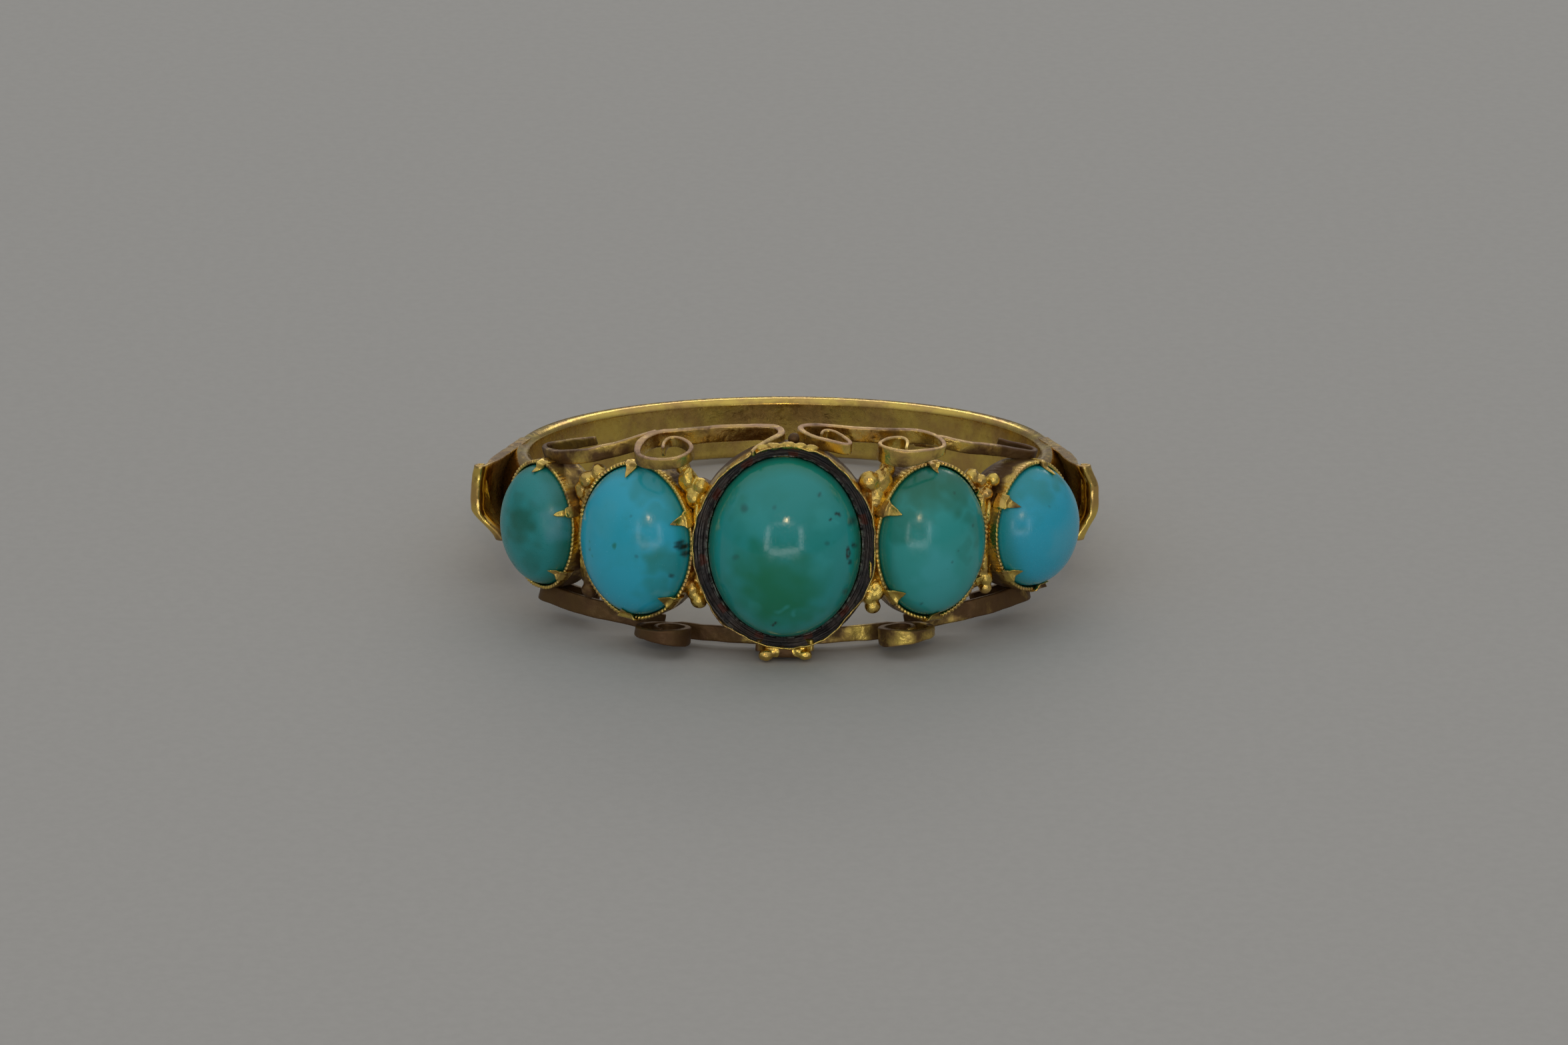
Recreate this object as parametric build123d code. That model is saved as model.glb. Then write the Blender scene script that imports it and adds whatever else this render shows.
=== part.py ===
from build123d import *
from collections import namedtuple
from math import atan2, cos, degrees, radians, sin
import os

# An antique gold half-hoop finger ring with five turquoise cabochons, lying on its side.
# It is modelled upright in the ring's own frame first: +X to the ring's right, -Y towards the
# stones, +Z along the finger. At the end it is laid down on the edges that carry it.
# Lengths are millimetres and angles are degrees. "Radius" is the distance from the finger's axis.

# Finger hole and shank, a band with a D section that grows wider towards the head
finger_radius = 8.65
shank_thickness = 1.0
shank_side_thickness = 0.42
shank_width = 2.2
shoulder_width = 2.6
shoulder_front = 3.3
head_hoop_thickness = 0.45
head_hoop_half_angle = 66

# Shoulder lips, where the band's outer skin leaves the hoop and flares out
lip_root_angle = 99.5
lip_length = 5.0
lip_thickness = 0.4
lip_tip_crown = 0.08
lip_roll_radius = 0.24

# Collets, their levels above the finger hole's wall, and the stones' seats
collet_foot_lift = 0.2
seat_lift = 1.05
girdle_height = 0.42
rim_height = 0.3
collet_foot_share = 0.72
collet_floor = 0.2
stone_clearance = 0.03
claw_thickness = 0.13
claw_lift = 0.03

# The wide collet of the centre stone has a sloping band of old filling round its stone
center_band_side = 0.5
center_band_end = 0.35
center_rim_wall = 0.14
fill_depth = 0.34
fill_slope_drop = 0.16
center_claw_width = 0.46
center_claw_gap = 0.08
center_claw_inset = 0.05
center_claw_rise = 0.03

# Gallery rails: flat strip standing on edge
rail_thickness = 0.22
rail_height = 0.62
rail_lift = 0.32

# The foot below the centre collet: a short plate with a bead at each end
foot_drop = 0.51
foot_overhang = 0.04
foot_width = 1.76
foot_plate_thickness = 0.3
foot_bead_radius = 0.21

# Solder webs between the collets, up to their height above the seats
web_lift = 0.25
web_half_height = 1.85
web_width = 1.5

# One row for each stone: its node, its place along the arc of the seats from the middle of the head,
# how far its seat stands out beyond that arc, the oval's width and length, the dome's height, and the
# wall of its collet round the stone
Stone = namedtuple("Stone", "node place lift width length dome wall")
center_stone = Stone("stone_center", 0, 0, 5.0, 6.0, 2.0, None)
inner_left = Stone("stone_left_inner", -4.74, 0.1, 4.0, 5.0, 1.6, 0.16)
inner_right = Stone("stone_right_inner", 4.66, 0.12, 3.9, 5.0, 1.55, 0.16)
outer_left = Stone("stone_left_outer", -8.48, 0.24, 3.24, 4.05, 1.4, 0.15)
outer_right = Stone("stone_right_outer", 8.43, 0.48, 3.7, 4.05, 1.55, 0.15)

# Claws of each collet: the direction round the stone, from the ring's right towards +Z, and how
# far the point reaches over the stone
Claw = namedtuple("Claw", "direction reach")
claws = {
    "stone_left_inner": [Claw(91, 0.6), Claw(21, 0.55), Claw(-48, 0.55), Claw(-97, 0.55)],
    "stone_right_inner": [
        Claw(90, 0.5), Claw(150, 0.6), Claw(221, 0.6), Claw(-89, 0.5), Claw(34, 0.3), Claw(-35, 0.3),
    ],
    "stone_left_outer": [Claw(83, 0.4), Claw(19, 0.35), Claw(-45, 0.35)],
    "stone_right_outer": [Claw(79, 0.4), Claw(149, 0.55), Claw(222, 0.55), Claw(-85, 0.4)],
}
claw_width = 0.62
center_claw_directions = [18, 84, 116, 144, 188, 222, 253, 286, 315]

# Gold granules: place along the arc of the seats, height along the finger, radius of the ball
Granule = namedtuple("Granule", "place height ball")
granule_lift = 0.45
granules = [
    Granule(-2.64, 1.96, 0.27),
    Granule(-2.47, 1.5, 0.2),
    Granule(-2.7, -1.87, 0.28),
    Granule(2.67, 2.1, 0.36),
    Granule(2.61, -1.4, 0.2),
    Granule(2.67, -1.72, 0.27),
    Granule(2.78, -2.08, 0.26),
    Granule(-6.6, 1.78, 0.3),
    Granule(-6.6, -1.95, 0.27),
    Granule(6.47, 1.8, 0.22),
    Granule(6.94, 1.76, 0.24),
    Granule(6.7, 1.34, 0.24),
    Granule(6.67, -1.52, 0.26),
    Granule(6.67, -1.85, 0.22),
]

# The dark granule over the centre collet, and the post of solder that it sits on
crown_granule_radius = 0.22
crown_granule_offset = 0.3
crown_rise = 0.15
crown_width = 0.8
crown_thickness = 0.5

# A rail's plan is a chain of tangent bends: a radius and a turn in degrees, left turns positive,
# or a straight length with no turn. These are the left-hand forms.
Bend = namedtuple("Bend", "size turn")
left_volute = [Bend(0.94, 180), Bend(0.78, 185), Bend(0.4, 165)]
right_volute = [Bend(1.12, 185), Bend(0.96, 175), Bend(0.52, 180)]
plain_tail = [Bend(0.3, -132), Bend(1.14, 0)]
curled_tail = [Bend(0.26, -150), Bend(0.96, 0), Bend(0.42, -190), Bend(0.25, -150)]
outer_scroll = [Bend(2.15, 0), Bend(2.2, -34), Bend(0.85, 0), Bend(0.48, -175), Bend(1.3, 0)]

# How each half rail lies: how far from the middle of the head it starts, how far it runs along the hoop
# before its volute, how far its top edge stands beyond the centre collet's end, and how its plane tips
# down towards the stones and the ring's side
Lay = namedtuple("Lay", "start run rise forward sideways")
upper_left_lay = Lay(0.36, 3.3, 0.47, 17, 3.5)
upper_right_lay = Lay(0.86, 2.93, 0.39, 13, 3.5)
lower_lay = Lay(0.36, 3.3, 0.25, 2, 2.5)

# The scrolls beyond the volutes start further out and have no such run
upper_outer_lay = Lay(4.23, 0, 0.05, 5.5, 15.5)
lower_outer_lay = Lay(4.23, 0, 0.03, 2, 11)
outer_heading = 172


def polar(length, angle):
    return (length * cos(radians(angle)), length * sin(radians(angle)))


def around(angle, radius, height=0):
    """The point at an angle round the finger from the middle of the head."""
    return (radius * sin(radians(angle)), -radius * cos(radians(angle)), height)


def arc_angle(length, radius):
    return degrees(length / radius)


def facing(place, lift=0):
    """A frame at a place along the arc of the seats: its Z runs straight out, and its Y along the finger."""
    angle = arc_angle(place, seat_radius)
    right = polar(1, angle)
    return Plane(origin=around(angle, lift), x_dir=(*right, 0), z_dir=around(angle, 1))


def head_lift(place):
    """How far the head stands out beyond the seats' arc at a place, between the stones beside it."""
    for first, second in zip(stones, stones[1:]):
        if first.place <= place <= second.place:
            share = (place - first.place) / (second.place - first.place)
            return first.lift + share * (second.lift - first.lift)


def rim_size(stone):
    side = center_band_side if stone.wall is None else stone.wall
    end = center_band_end if stone.wall is None else stone.wall
    return stone.width + 2 * side, stone.length + 2 * end


stones = [outer_left, inner_left, center_stone, inner_right, outer_right]
seat_radius = finger_radius + seat_lift
girdle_radius = seat_radius + girdle_height
rim_radius = girdle_radius + rim_height
rail_radius = finger_radius + rail_lift
center_rim_half = rim_size(center_stone)[1] / 2
foot_depth = center_rim_half + foot_drop
foot_front = rim_radius + foot_overhang
fill_top = rim_radius + center_claw_rise - claw_thickness - claw_lift - fill_slope_drop / 2
fill_bottom = fill_top - fill_depth


def make_flanks():
    """The room between the shank's flanks, which part from the back of the ring to its shoulders."""
    half = shoulder_width / 2
    outside = finger_radius + shank_thickness
    side_view = Plane.YZ * make_face(
        Polyline(
            (outside, -shank_width / 2), (outside, shank_width / 2),
            (-shoulder_front, half), (-outside, half), (-outside, -half), (-shoulder_front, -half),
            close=True,
        )
    )
    return extrude(side_view, amount=2 * outside, both=True)


def make_shank():
    """A D section turned round the finger, its flanks tapered and its outside thinned under the head."""
    half = shoulder_width / 2
    outside = finger_radius + shank_thickness
    side = finger_radius + shank_side_thickness
    profile = Plane.XZ * make_face(
        Polyline((side, -half), (finger_radius, -half), (finger_radius, half), (side, half))
        + ThreePointArc((side, half), (outside, 0), (side, -half))
    )
    hoop = revolve(profile, Axis.Z) & make_flanks()
    under_head = finger_radius + head_hoop_thickness
    thinned = Cylinder(2 * outside, shoulder_width) - Cylinder(under_head, shoulder_width)
    reach = 3 * outside
    sector = make_face(
        Polyline((0, 0), around(-head_hoop_half_angle, reach)[:2], (0, -reach),
                 around(head_hoop_half_angle, reach)[:2], close=True)
    )
    thinned &= extrude(sector, amount=shoulder_width, both=True)
    return hoop - thinned


def make_lip():
    """The right shoulder's lip: the band's domed skin, which leaves the hoop at a tangent and flattens
    towards a small roll at its tip."""
    outside = finger_radius + shank_thickness
    forwards = Vector(*polar(1, lip_root_angle - 180))
    root = Vector(*around(lip_root_angle, outside))
    tip = root + forwards * lip_length
    half = shoulder_width / 2

    def section(origin, crown):
        outer = ThreePointArc((-crown, -half), (0, 0), (-crown, half))
        back = -crown - lip_thickness
        inner = ThreePointArc((back, half), (-lip_thickness, 0), (back, -half))
        face = make_face(outer + Line(outer @ 1, inner @ 0) + inner + Line(inner @ 1, outer @ 0))
        return Plane(origin=origin, x_dir=around(lip_root_angle, 1), z_dir=forwards) * face

    skin = loft([section(root, shank_thickness - shank_side_thickness), section(tip, lip_tip_crown)])
    roll = Pos(tip.X, tip.Y, 0) * Cylinder(lip_roll_radius, shoulder_width)
    return (skin + roll) & make_flanks()


def ellipsoid(width, length, height):
    return scale(Sphere(1), by=(width / 2, length / 2, height))


def oval(width, length, margin=0):
    return Ellipse(width / 2 + margin, length / 2 + margin)


def make_stone(stone):
    """A cabochon: a low oval girdle with a domed top."""
    girdle = Pos(0, 0, seat_radius) * extrude(oval(stone.width, stone.length), girdle_height)
    half_ball = Sphere(1, arc_size1=0, align=(Align.CENTER, Align.CENTER, Align.MIN))
    dome = scale(half_ball, by=(stone.width / 2, stone.length / 2, stone.dome))
    return facing(stone.place, stone.lift) * (girdle + Pos(0, 0, girdle_radius) * dome)


def make_collet(stone):
    """An oval stub that widens outwards, before its pocket is cut."""
    width, length = rim_size(stone)
    foot = oval(width * collet_foot_share, length * collet_foot_share)
    belly = oval(width, length)
    foot_radius = finger_radius + collet_foot_lift - stone.lift
    belly_radius = seat_radius - collet_floor
    taper = loft([Pos(0, 0, foot_radius) * foot, Pos(0, 0, belly_radius) * belly])
    wall = Pos(0, 0, belly_radius) * extrude(belly, rim_radius - belly_radius)
    return facing(stone.place, stone.lift) * (taper + wall)


def make_pocket(stone):
    """The room for a stone in its collet, with the filling's wider room round the centre stone."""
    room = oval(stone.width, stone.length, stone_clearance)
    pocket = Pos(0, 0, seat_radius - stone_clearance) * extrude(room, stone.dome + girdle_height)
    if stone.wall is None:
        pocket += Pos(0, 0, fill_bottom) * extrude(oval(*rim_size(stone), -center_rim_wall), stone.dome)
    return facing(stone.place, stone.lift) * pocket


def make_fill(stone):
    """The filling's ring: flat below, and sloping down from the rim to the stone above."""
    outer = oval(*rim_size(stone), -center_rim_wall - stone_clearance)
    inner = oval(stone.width, stone.length, 2 * stone_clearance)
    bottom = fill_bottom + stone_clearance
    body = Pos(0, 0, bottom) * extrude(outer, fill_top - bottom)
    slope_foot = Pos(0, 0, fill_top - fill_slope_drop) * inner
    slope = loft([slope_foot, Pos(0, 0, fill_top + stone_clearance) * outer])
    bore = Pos(0, 0, fill_bottom) * extrude(inner, rim_radius - fill_bottom)
    return facing(stone.place, stone.lift) * (body - slope - bore)


def folded_claws(stone):
    """Pointed claws cut from a shell that follows the dome just above it."""
    near = 2 * claw_lift
    far = near + 2 * claw_thickness
    shell = ellipsoid(stone.width + far, stone.length + far, stone.dome + far / 2)
    shell -= ellipsoid(stone.width + near, stone.length + near, stone.dome + near / 2)
    place = facing(stone.place, stone.lift) * Pos(0, 0, girdle_radius)
    made = []
    for direction, reach in claws[stone.node]:
        across, along = polar(1, direction)
        edge = Vector(across * stone.width / 2, along * stone.length / 2)
        out = Vector(across / stone.width, along / stone.length).normalized()
        side = Vector(-out.Y, out.X) * (claw_width / 2)
        root = edge + out * (far / 2)
        tip = edge - out * reach
        wedge = extrude(make_face(Polyline(root + side, tip, root - side, close=True)), amount=stone.dome)
        made.append(place * (shell & wedge))
    return made


def flat_claws(stone):
    """The centre collet's claws: flat tabs that lean on the sloping filling, from the rim to the stone."""
    width, length = rim_size(stone)
    tabs = []
    for direction in center_claw_directions:
        across, along = polar(1, direction)
        rim_point = Vector(across * width / 2, along * length / 2)
        stone_point = Vector(across * stone.width / 2, along * stone.length / 2)
        out = rim_point - stone_point
        root = rim_point - out.normalized() * center_claw_inset
        run = out.length - center_claw_inset - center_claw_gap
        lean = degrees(atan2(fill_slope_drop, out.length))
        place = Plane(
            origin=(root.X, root.Y, rim_radius + center_claw_rise), x_dir=(out.X, out.Y, 0), z_dir=(0, 0, 1)
        )
        tab = Box(run, center_claw_width, claw_thickness, align=(Align.MAX, Align.CENTER, Align.MAX))
        tabs.append(facing(stone.place, stone.lift) * place * Rot(0, -lean, 0) * tab)
    return tabs


def make_web(first, second):
    """The solder that joins two collets, standing on the hoop."""
    foot = finger_radius + head_hoop_thickness / 2
    top = seat_radius + web_lift + (first.lift + second.lift) / 2
    block = Box(web_width, 2 * web_half_height, top - foot)
    return facing((first.place + second.place) / 2) * Pos(0, 0, (top + foot) / 2) * block


def make_granule(granule):
    """A ball with its poles along the ring's radius and its seam on the side away from the collets."""
    seam = 90 if granule.height > 0 else -90
    center = Pos(0, granule.height, seat_radius + granule_lift)
    return facing(granule.place, head_lift(granule.place)) * center * Rot(0, 0, seam) * Sphere(granule.ball)


def bent_edge(start, heading, bends, offset):
    """One side of a strip's plan, at an offset to the left of a chain of straights and arcs."""
    point = Vector(*start) + Vector(*polar(offset, heading + 90))
    chain = []
    for bend in bends:
        if bend.turn == 0:
            piece = Line(point, point + Vector(*polar(bend.size, heading)))
        else:
            inwards = offset if bend.turn > 0 else -offset
            piece = JernArc(point, polar(1, heading), bend.size - inwards, bend.turn)
        chain.append(piece)
        point = piece @ 1
        heading += bend.turn
    return chain


def bent_strip(start, heading, bends):
    """A flat strip on edge, bent along a chain of straights and arcs. Its top edge is at height 0."""
    left = bent_edge(start, heading, bends, rail_thickness / 2)
    right = bent_edge(start, heading, bends, -rail_thickness / 2)
    ends = [Line(left[0] @ 0, right[0] @ 0), Line(left[-1] @ 1, right[-1] @ 1)]
    return extrude(make_face(left + right + ends), amount=-rail_height)


def lay_strip(strip, hinge, lay):
    """Tips a strip's plane down towards the front and towards the left, about a point on its finger side."""
    x, y = hinge
    tip = Rot(lay.forward, 0, 0) * Rot(0, -lay.sideways, 0)
    return Pos(x, y, center_rim_half + lay.rise) * tip * Pos(-x, -y, 0) * strip


def center_rail(volute, tail, lay):
    """The left half of a rail over the middle of the head: a tail at the centre, a run and a volute."""
    begin = (-lay.start, -rail_radius)
    long_run = Bend(rail_radius, -arc_angle(lay.run, rail_radius))
    run = bent_strip(begin, 180, [long_run] + volute)
    turn_back = bent_strip(begin, 0, tail)
    return lay_strip(run + turn_back, begin, lay)


def outer_rail(lay):
    """The left scroll from the volute to the end collet: it crosses to the front and loops back."""
    start = around(-arc_angle(lay.start, rail_radius), rail_radius)[:2]
    return lay_strip(bent_strip(start, outer_heading, outer_scroll), start, lay)


def flip_right(shape):
    return mirror(shape, Plane.YZ)


def flip_down(shape):
    return mirror(shape, Plane.XY)


def flip_both(shape):
    return Rot(0, 180, 0) * shape


def make_rails():
    """The upper rail stands well clear and tips forward, and the lower one lies nearly level."""
    upper_outer = outer_rail(upper_outer_lay)
    upper = [
        center_rail(left_volute, plain_tail, upper_left_lay),
        flip_right(center_rail(right_volute, curled_tail, upper_right_lay)),
        upper_outer,
        flip_right(upper_outer),
    ]
    lower = [center_rail(left_volute, plain_tail, lower_lay), outer_rail(lower_outer_lay)]
    return upper + [flip_down(rail) for rail in lower] + [flip_both(rail) for rail in lower]


def make_crown():
    """The granule over the centre collet, on its post."""
    foot = center_rim_half * collet_foot_share
    top = center_rim_half + crown_rise
    post = Pos(0, -seat_radius, (top + foot) / 2) * Box(crown_width, crown_thickness, top - foot)
    ball = Pos(crown_granule_offset, -seat_radius, top) * Sphere(crown_granule_radius)
    return [post, ball]


def make_foot():
    """The short plate below the centre collet, with a bead at each end of it."""
    top = center_rim_half - center_rim_wall
    height = foot_depth - top
    center_y = -foot_front + foot_plate_thickness / 2
    plate = Pos(0, center_y, -(foot_depth + top) / 2) * Box(foot_width, foot_plate_thickness, height)
    beads = [
        Pos(side * (foot_width / 2 - foot_bead_radius), center_y, -foot_depth + foot_bead_radius)
        * Sphere(foot_bead_radius)
        for side in (-1, 1)
    ]
    return [plate] + beads


lip = make_lip()
gold_mount = make_shank() + [lip, flip_right(lip)]
gold_mount += [make_collet(stone) for stone in stones]
gold_mount += [make_web(first, second) for first, second in zip(stones, stones[1:])]
gold_mount += make_rails() + make_crown() + make_foot()
for granule in granules:
    gold_mount += make_granule(granule)
gold_mount -= [make_pocket(stone) for stone in stones]
for stone in stones:
    for claw in folded_claws(stone) if stone.wall else flat_claws(stone):
        gold_mount += claw

# Laid down, the ring stands on the foot below the centre collet and on the edge of the band at its back
back_edge = finger_radius + shank_side_thickness
rest_tilt = degrees(atan2(foot_depth - shank_width / 2, foot_front + back_edge))

pieces = {"gold_mount": gold_mount, "center_collet_fill": make_fill(center_stone)}
for stone in stones:
    pieces[stone.node] = make_stone(stone)

laid = {node: Rot(-rest_tilt, 0, 0) * piece for node, piece in pieces.items()}
box = Compound(list(laid.values())).bounding_box()
settle = Pos(-box.center().X, -box.center().Y, -box.min.Z)

os.makedirs("parts", exist_ok=True)
for node, piece in laid.items():
    export_step(settle * piece, f"parts/{node}.step")
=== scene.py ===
import math
import bpy
import numpy as np
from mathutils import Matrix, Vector


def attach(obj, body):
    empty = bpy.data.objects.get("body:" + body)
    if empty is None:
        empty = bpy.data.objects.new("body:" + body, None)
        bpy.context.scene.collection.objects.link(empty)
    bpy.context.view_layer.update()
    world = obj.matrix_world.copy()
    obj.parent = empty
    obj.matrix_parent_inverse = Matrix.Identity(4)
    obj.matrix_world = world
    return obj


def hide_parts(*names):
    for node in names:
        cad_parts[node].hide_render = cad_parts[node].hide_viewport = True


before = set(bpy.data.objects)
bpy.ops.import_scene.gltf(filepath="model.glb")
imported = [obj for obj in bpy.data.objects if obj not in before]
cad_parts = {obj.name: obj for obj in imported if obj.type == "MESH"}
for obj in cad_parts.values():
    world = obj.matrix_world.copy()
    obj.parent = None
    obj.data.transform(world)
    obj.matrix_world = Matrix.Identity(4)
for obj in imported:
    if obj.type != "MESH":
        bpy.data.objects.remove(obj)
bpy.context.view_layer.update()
print("frame loaded")

# the ring is shaped upright in its own frame, in mm: X to its right, -Y to the stones, Z along the finger
ring = {"tilt": 8.0438, "shift": (0.0, 1.23626, 2.40033),
        "finger": 8.65, "seat": 9.7, "girdle": 10.12, "rim": 10.42}
lattice = {"keys": (374761393, 668265263, 1442695041), "seed": 974634777, "mix": 1274126177, "shift": 7.31}


def toRow(points):
    # leans the points round X by the tilt, shifts them and turns mm into metres
    c, s = math.cos(math.radians(ring["tilt"])), math.sin(math.radians(ring["tilt"]))
    x, y, z = points[..., 0], points[..., 1], points[..., 2]
    return (np.stack([x, y * c + z * s, z * c - y * s], -1) + ring["shift"]) / 1000


def softStep(value, low, high):
    # 0 below low, 1 above high, and 3t^2 - 2t^3 between them
    t = np.clip((value - low) / (high - low), 0, 1)
    return t * t * (3 - 2 * t)


def softNoise(points, size, seed):
    # value noise from -1 to 1: hashed numbers at the corners of a lattice, blended with a smooth step
    p = np.asarray(points, float) / size + seed * lattice["shift"]
    cell = np.floor(p).astype(np.int64)
    t = p - cell
    t = t * t * (3 - 2 * t)
    total = np.zeros(p.shape[:-1])
    for corner in range(8):
        step = np.array([corner & 1, corner >> 1 & 1, corner >> 2])
        key = (cell + step) @ np.array(lattice["keys"]) + seed * lattice["seed"]
        key = (key ^ (key >> 13)) * lattice["mix"] & 0x7FFFFFFF
        value = ((key ^ (key >> 15)) & 0xFFFF) / 32767.5 - 1
        total = total + value * np.prod(np.where(step, t, 1 - t), axis=-1)
    return total


def castNoise(points, size, seed):
    # three sizes of soft noise added, each half as large and half as strong as the last
    return sum(softNoise(points, size / 2 ** k, seed + k) / 2 ** k for k in range(3)) / 1.75


def fullTurn(samples):
    # angles once round, in even steps
    return np.linspace(0, 2 * np.pi, samples, endpoint=False)


def sphereRings(rows, columns):
    # directions on a sphere by two angles, without its poles
    up = np.linspace(0, np.pi, rows)[1:-1, None]
    turn = fullTurn(columns)
    x, y = np.sin(up) * np.cos(turn), np.sin(up) * np.sin(turn)
    return np.stack([x, y, np.broadcast_to(np.cos(up), x.shape)], -1)


def gridFaces(rows, columns):
    # quads between neighbours on a grid whose last column is joined to its first
    r, c = np.meshgrid(np.arange(rows - 1), np.arange(columns), indexing="ij")
    d = (c + 1) % columns
    here, following = r * columns, (r + 1) * columns
    return np.stack([here + c, here + d, following + d, following + c], -1).reshape(-1, 4)


def tubeShell(rings):
    # rings of points joined in order, and closed at both ends by a fan to the end ring's middle
    rows, columns = rings.shape[:2]
    points = np.concatenate([rings.reshape(-1, 3), [rings[0].mean(0), rings[-1].mean(0)]])
    c = np.arange(columns)
    d = (c + 1) % columns
    first = np.stack([d, c, np.full(columns, rows * columns)], -1)
    end = (rows - 1) * columns
    last = np.stack([c + end, d + end, np.full(columns, rows * columns + 1)], -1)
    return faceOut(points, gridFaces(rows, columns), np.concatenate([first, last]))


def loopShell(rings):
    # rings of points joined in order, the last one joined to the first
    rows, columns = rings.shape[:2]
    quads = gridFaces(rows + 1, columns) % (rows * columns)
    return faceOut(rings.reshape(-1, 3), quads, np.zeros((0, 3), int))


def faceOut(points, quads, triangles):
    # turns the faces round where the shell's signed volume is negative
    halves = np.concatenate([quads[:, [0, 1, 2]], quads[:, [0, 2, 3]], triangles])
    a, b, c = (points[halves[:, k]] for k in range(3))
    if np.einsum("ij,ij->i", a, np.cross(b, c)).sum() < 0:
        quads, triangles = quads[:, ::-1], triangles[:, ::-1]
    return points, quads, triangles


def joinShells(shells):
    # one list of points and one of faces, each shell's faces counted on from the points before it
    points, faces, start = [], [], 0
    for shellPoints, quads, triangles in shells:
        points.append(shellPoints)
        faces += (quads + start).tolist() + (triangles + start).tolist()
        start += len(shellPoints)
    return np.concatenate(points), faces


def nowhere(points):
    # a mask that is 0 everywhere
    return np.zeros(len(points))


def goldMasks(grimeAndShade, edge=nowhere):
    # where the gold is dirty and where it is darkened with painted shade, and where it is rubbed
    return {"grimeAndShade": grimeAndShade, "edge": edge}


def addPiece(name, shells, material, masks, nodes=("gold_mount",)):
    # joins shells into one mesh, gives it its masks as point attributes and lets it stand for its CAD nodes
    points, faces = joinShells(shells)
    mesh = bpy.data.meshes.new(name)
    mesh.from_pydata(toRow(points).tolist(), [], faces)
    mesh.validate()
    mesh.shade_smooth()
    for maskName, valueOf in masks.items():
        layer = mesh.attributes.new(maskName, "FLOAT", "POINT")
        layer.data.foreach_set("value", np.clip(valueOf(points), 0, 1).astype(np.float32))
    mesh.materials.append(material)
    piece = bpy.data.objects.new(name, mesh)
    bpy.context.scene.collection.objects.link(piece)
    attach(piece, "root")
    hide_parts(*nodes)
    print(name, len(faces), "faces")


# finishes
# the dark brown stands for both tarnish and painted shade
goldFinish = {"yellow": (0.82, 0.60, 0.14), "rosy": (0.62, 0.40, 0.13),
              "edge": (0.50, 0.33, 0.22), "grimeAndShade": (0.075, 0.030, 0.012), "castDepth": 0.00003}
stoneFinish = {"matrix": (0.012, 0.022, 0.020), "index": 1.5, "scratchTurn": (0.3, 0.5, 0.4),
               "scratchStretch": (1.0, 1.0, 0.12), "scratchDepth": 0.00001}
fillingFinish = {"black": (0.016, 0.014, 0.017), "brown": (0.05, 0.033, 0.027), "grey": (0.14, 0.125, 0.11),
                 "scratch": (0.20, 0.185, 0.175), "stub": (0.085, 0.020, 0.011),
                 "crust": (0.30, 0.35, 0.30), "metallic": 0.35, "grainDepth": 0.00004}


class Tree:
    # a node tree with short ways to add a node and join it to others
    def __init__(self, owner):
        self.nodes, self.links = owner.node_tree.nodes, owner.node_tree.links

    def join(self, value, socket):
        # a number or a colour is set on the socket itself, and another node's output is linked to it
        if isinstance(value, tuple):
            socket.default_value = (*value, 1.0)
        elif isinstance(value, (int, float)):
            socket.default_value = value
        else:
            self.links.new(value, socket)

    def place(self):
        return self.nodes.new("ShaderNodeTexCoord").outputs["Object"]

    def mask(self, name):
        node = self.nodes.new("ShaderNodeAttribute")
        node.attribute_name = name
        return node.outputs["Fac"]

    def noise(self, place, scale, detail=3.0, roughness=0.55, distortion=0.0):
        node = self.nodes.new("ShaderNodeTexNoise")
        self.join(place, node.inputs["Vector"])
        settings = {"Scale": scale, "Detail": detail, "Roughness": roughness, "Distortion": distortion}
        for socket, value in settings.items():
            node.inputs[socket].default_value = value
        return node.outputs["Fac"]

    def ramp(self, value, low, high, toLow=0.0, toHigh=1.0):
        # a smooth step from low to high, stretched to run from toLow to toHigh
        node = self.nodes.new("ShaderNodeMapRange")
        node.interpolation_type = "SMOOTHSTEP"
        self.join(value, node.inputs["Value"])
        settings = {"From Min": low, "From Max": high, "To Min": toLow, "To Max": toHigh}
        for socket, number in settings.items():
            node.inputs[socket].default_value = number
        return node.outputs["Result"]

    def mix(self, factor, first, second):
        node = self.nodes.new("ShaderNodeMix")
        node.data_type = "RGBA"
        for value, socket in ((factor, 0), (first, 6), (second, 7)):
            self.join(value, node.inputs[socket])
        return node.outputs[2]

    def math(self, operation, first, second):
        node = self.nodes.new("ShaderNodeMath")
        node.operation = operation
        self.join(first, node.inputs[0])
        self.join(second, node.inputs[1])
        return node.outputs[0]

    def times(self, first, second):
        return self.math("MULTIPLY", first, second)

    def plus(self, first, second):
        return self.math("ADD", first, second)

    def less(self, first, second):
        return self.math("SUBTRACT", first, second)

    def bump(self, height, strength, distance):
        node = self.nodes.new("ShaderNodeBump")
        node.inputs["Strength"].default_value = strength
        node.inputs["Distance"].default_value = distance
        self.join(height, node.inputs["Height"])
        return node.outputs["Normal"]


def newMaterial(name):
    # an empty material, its tree and its shader
    material = bpy.data.materials.new(name)
    material.use_nodes = True
    return material, Tree(material), material.node_tree.nodes["Principled BSDF"]


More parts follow.
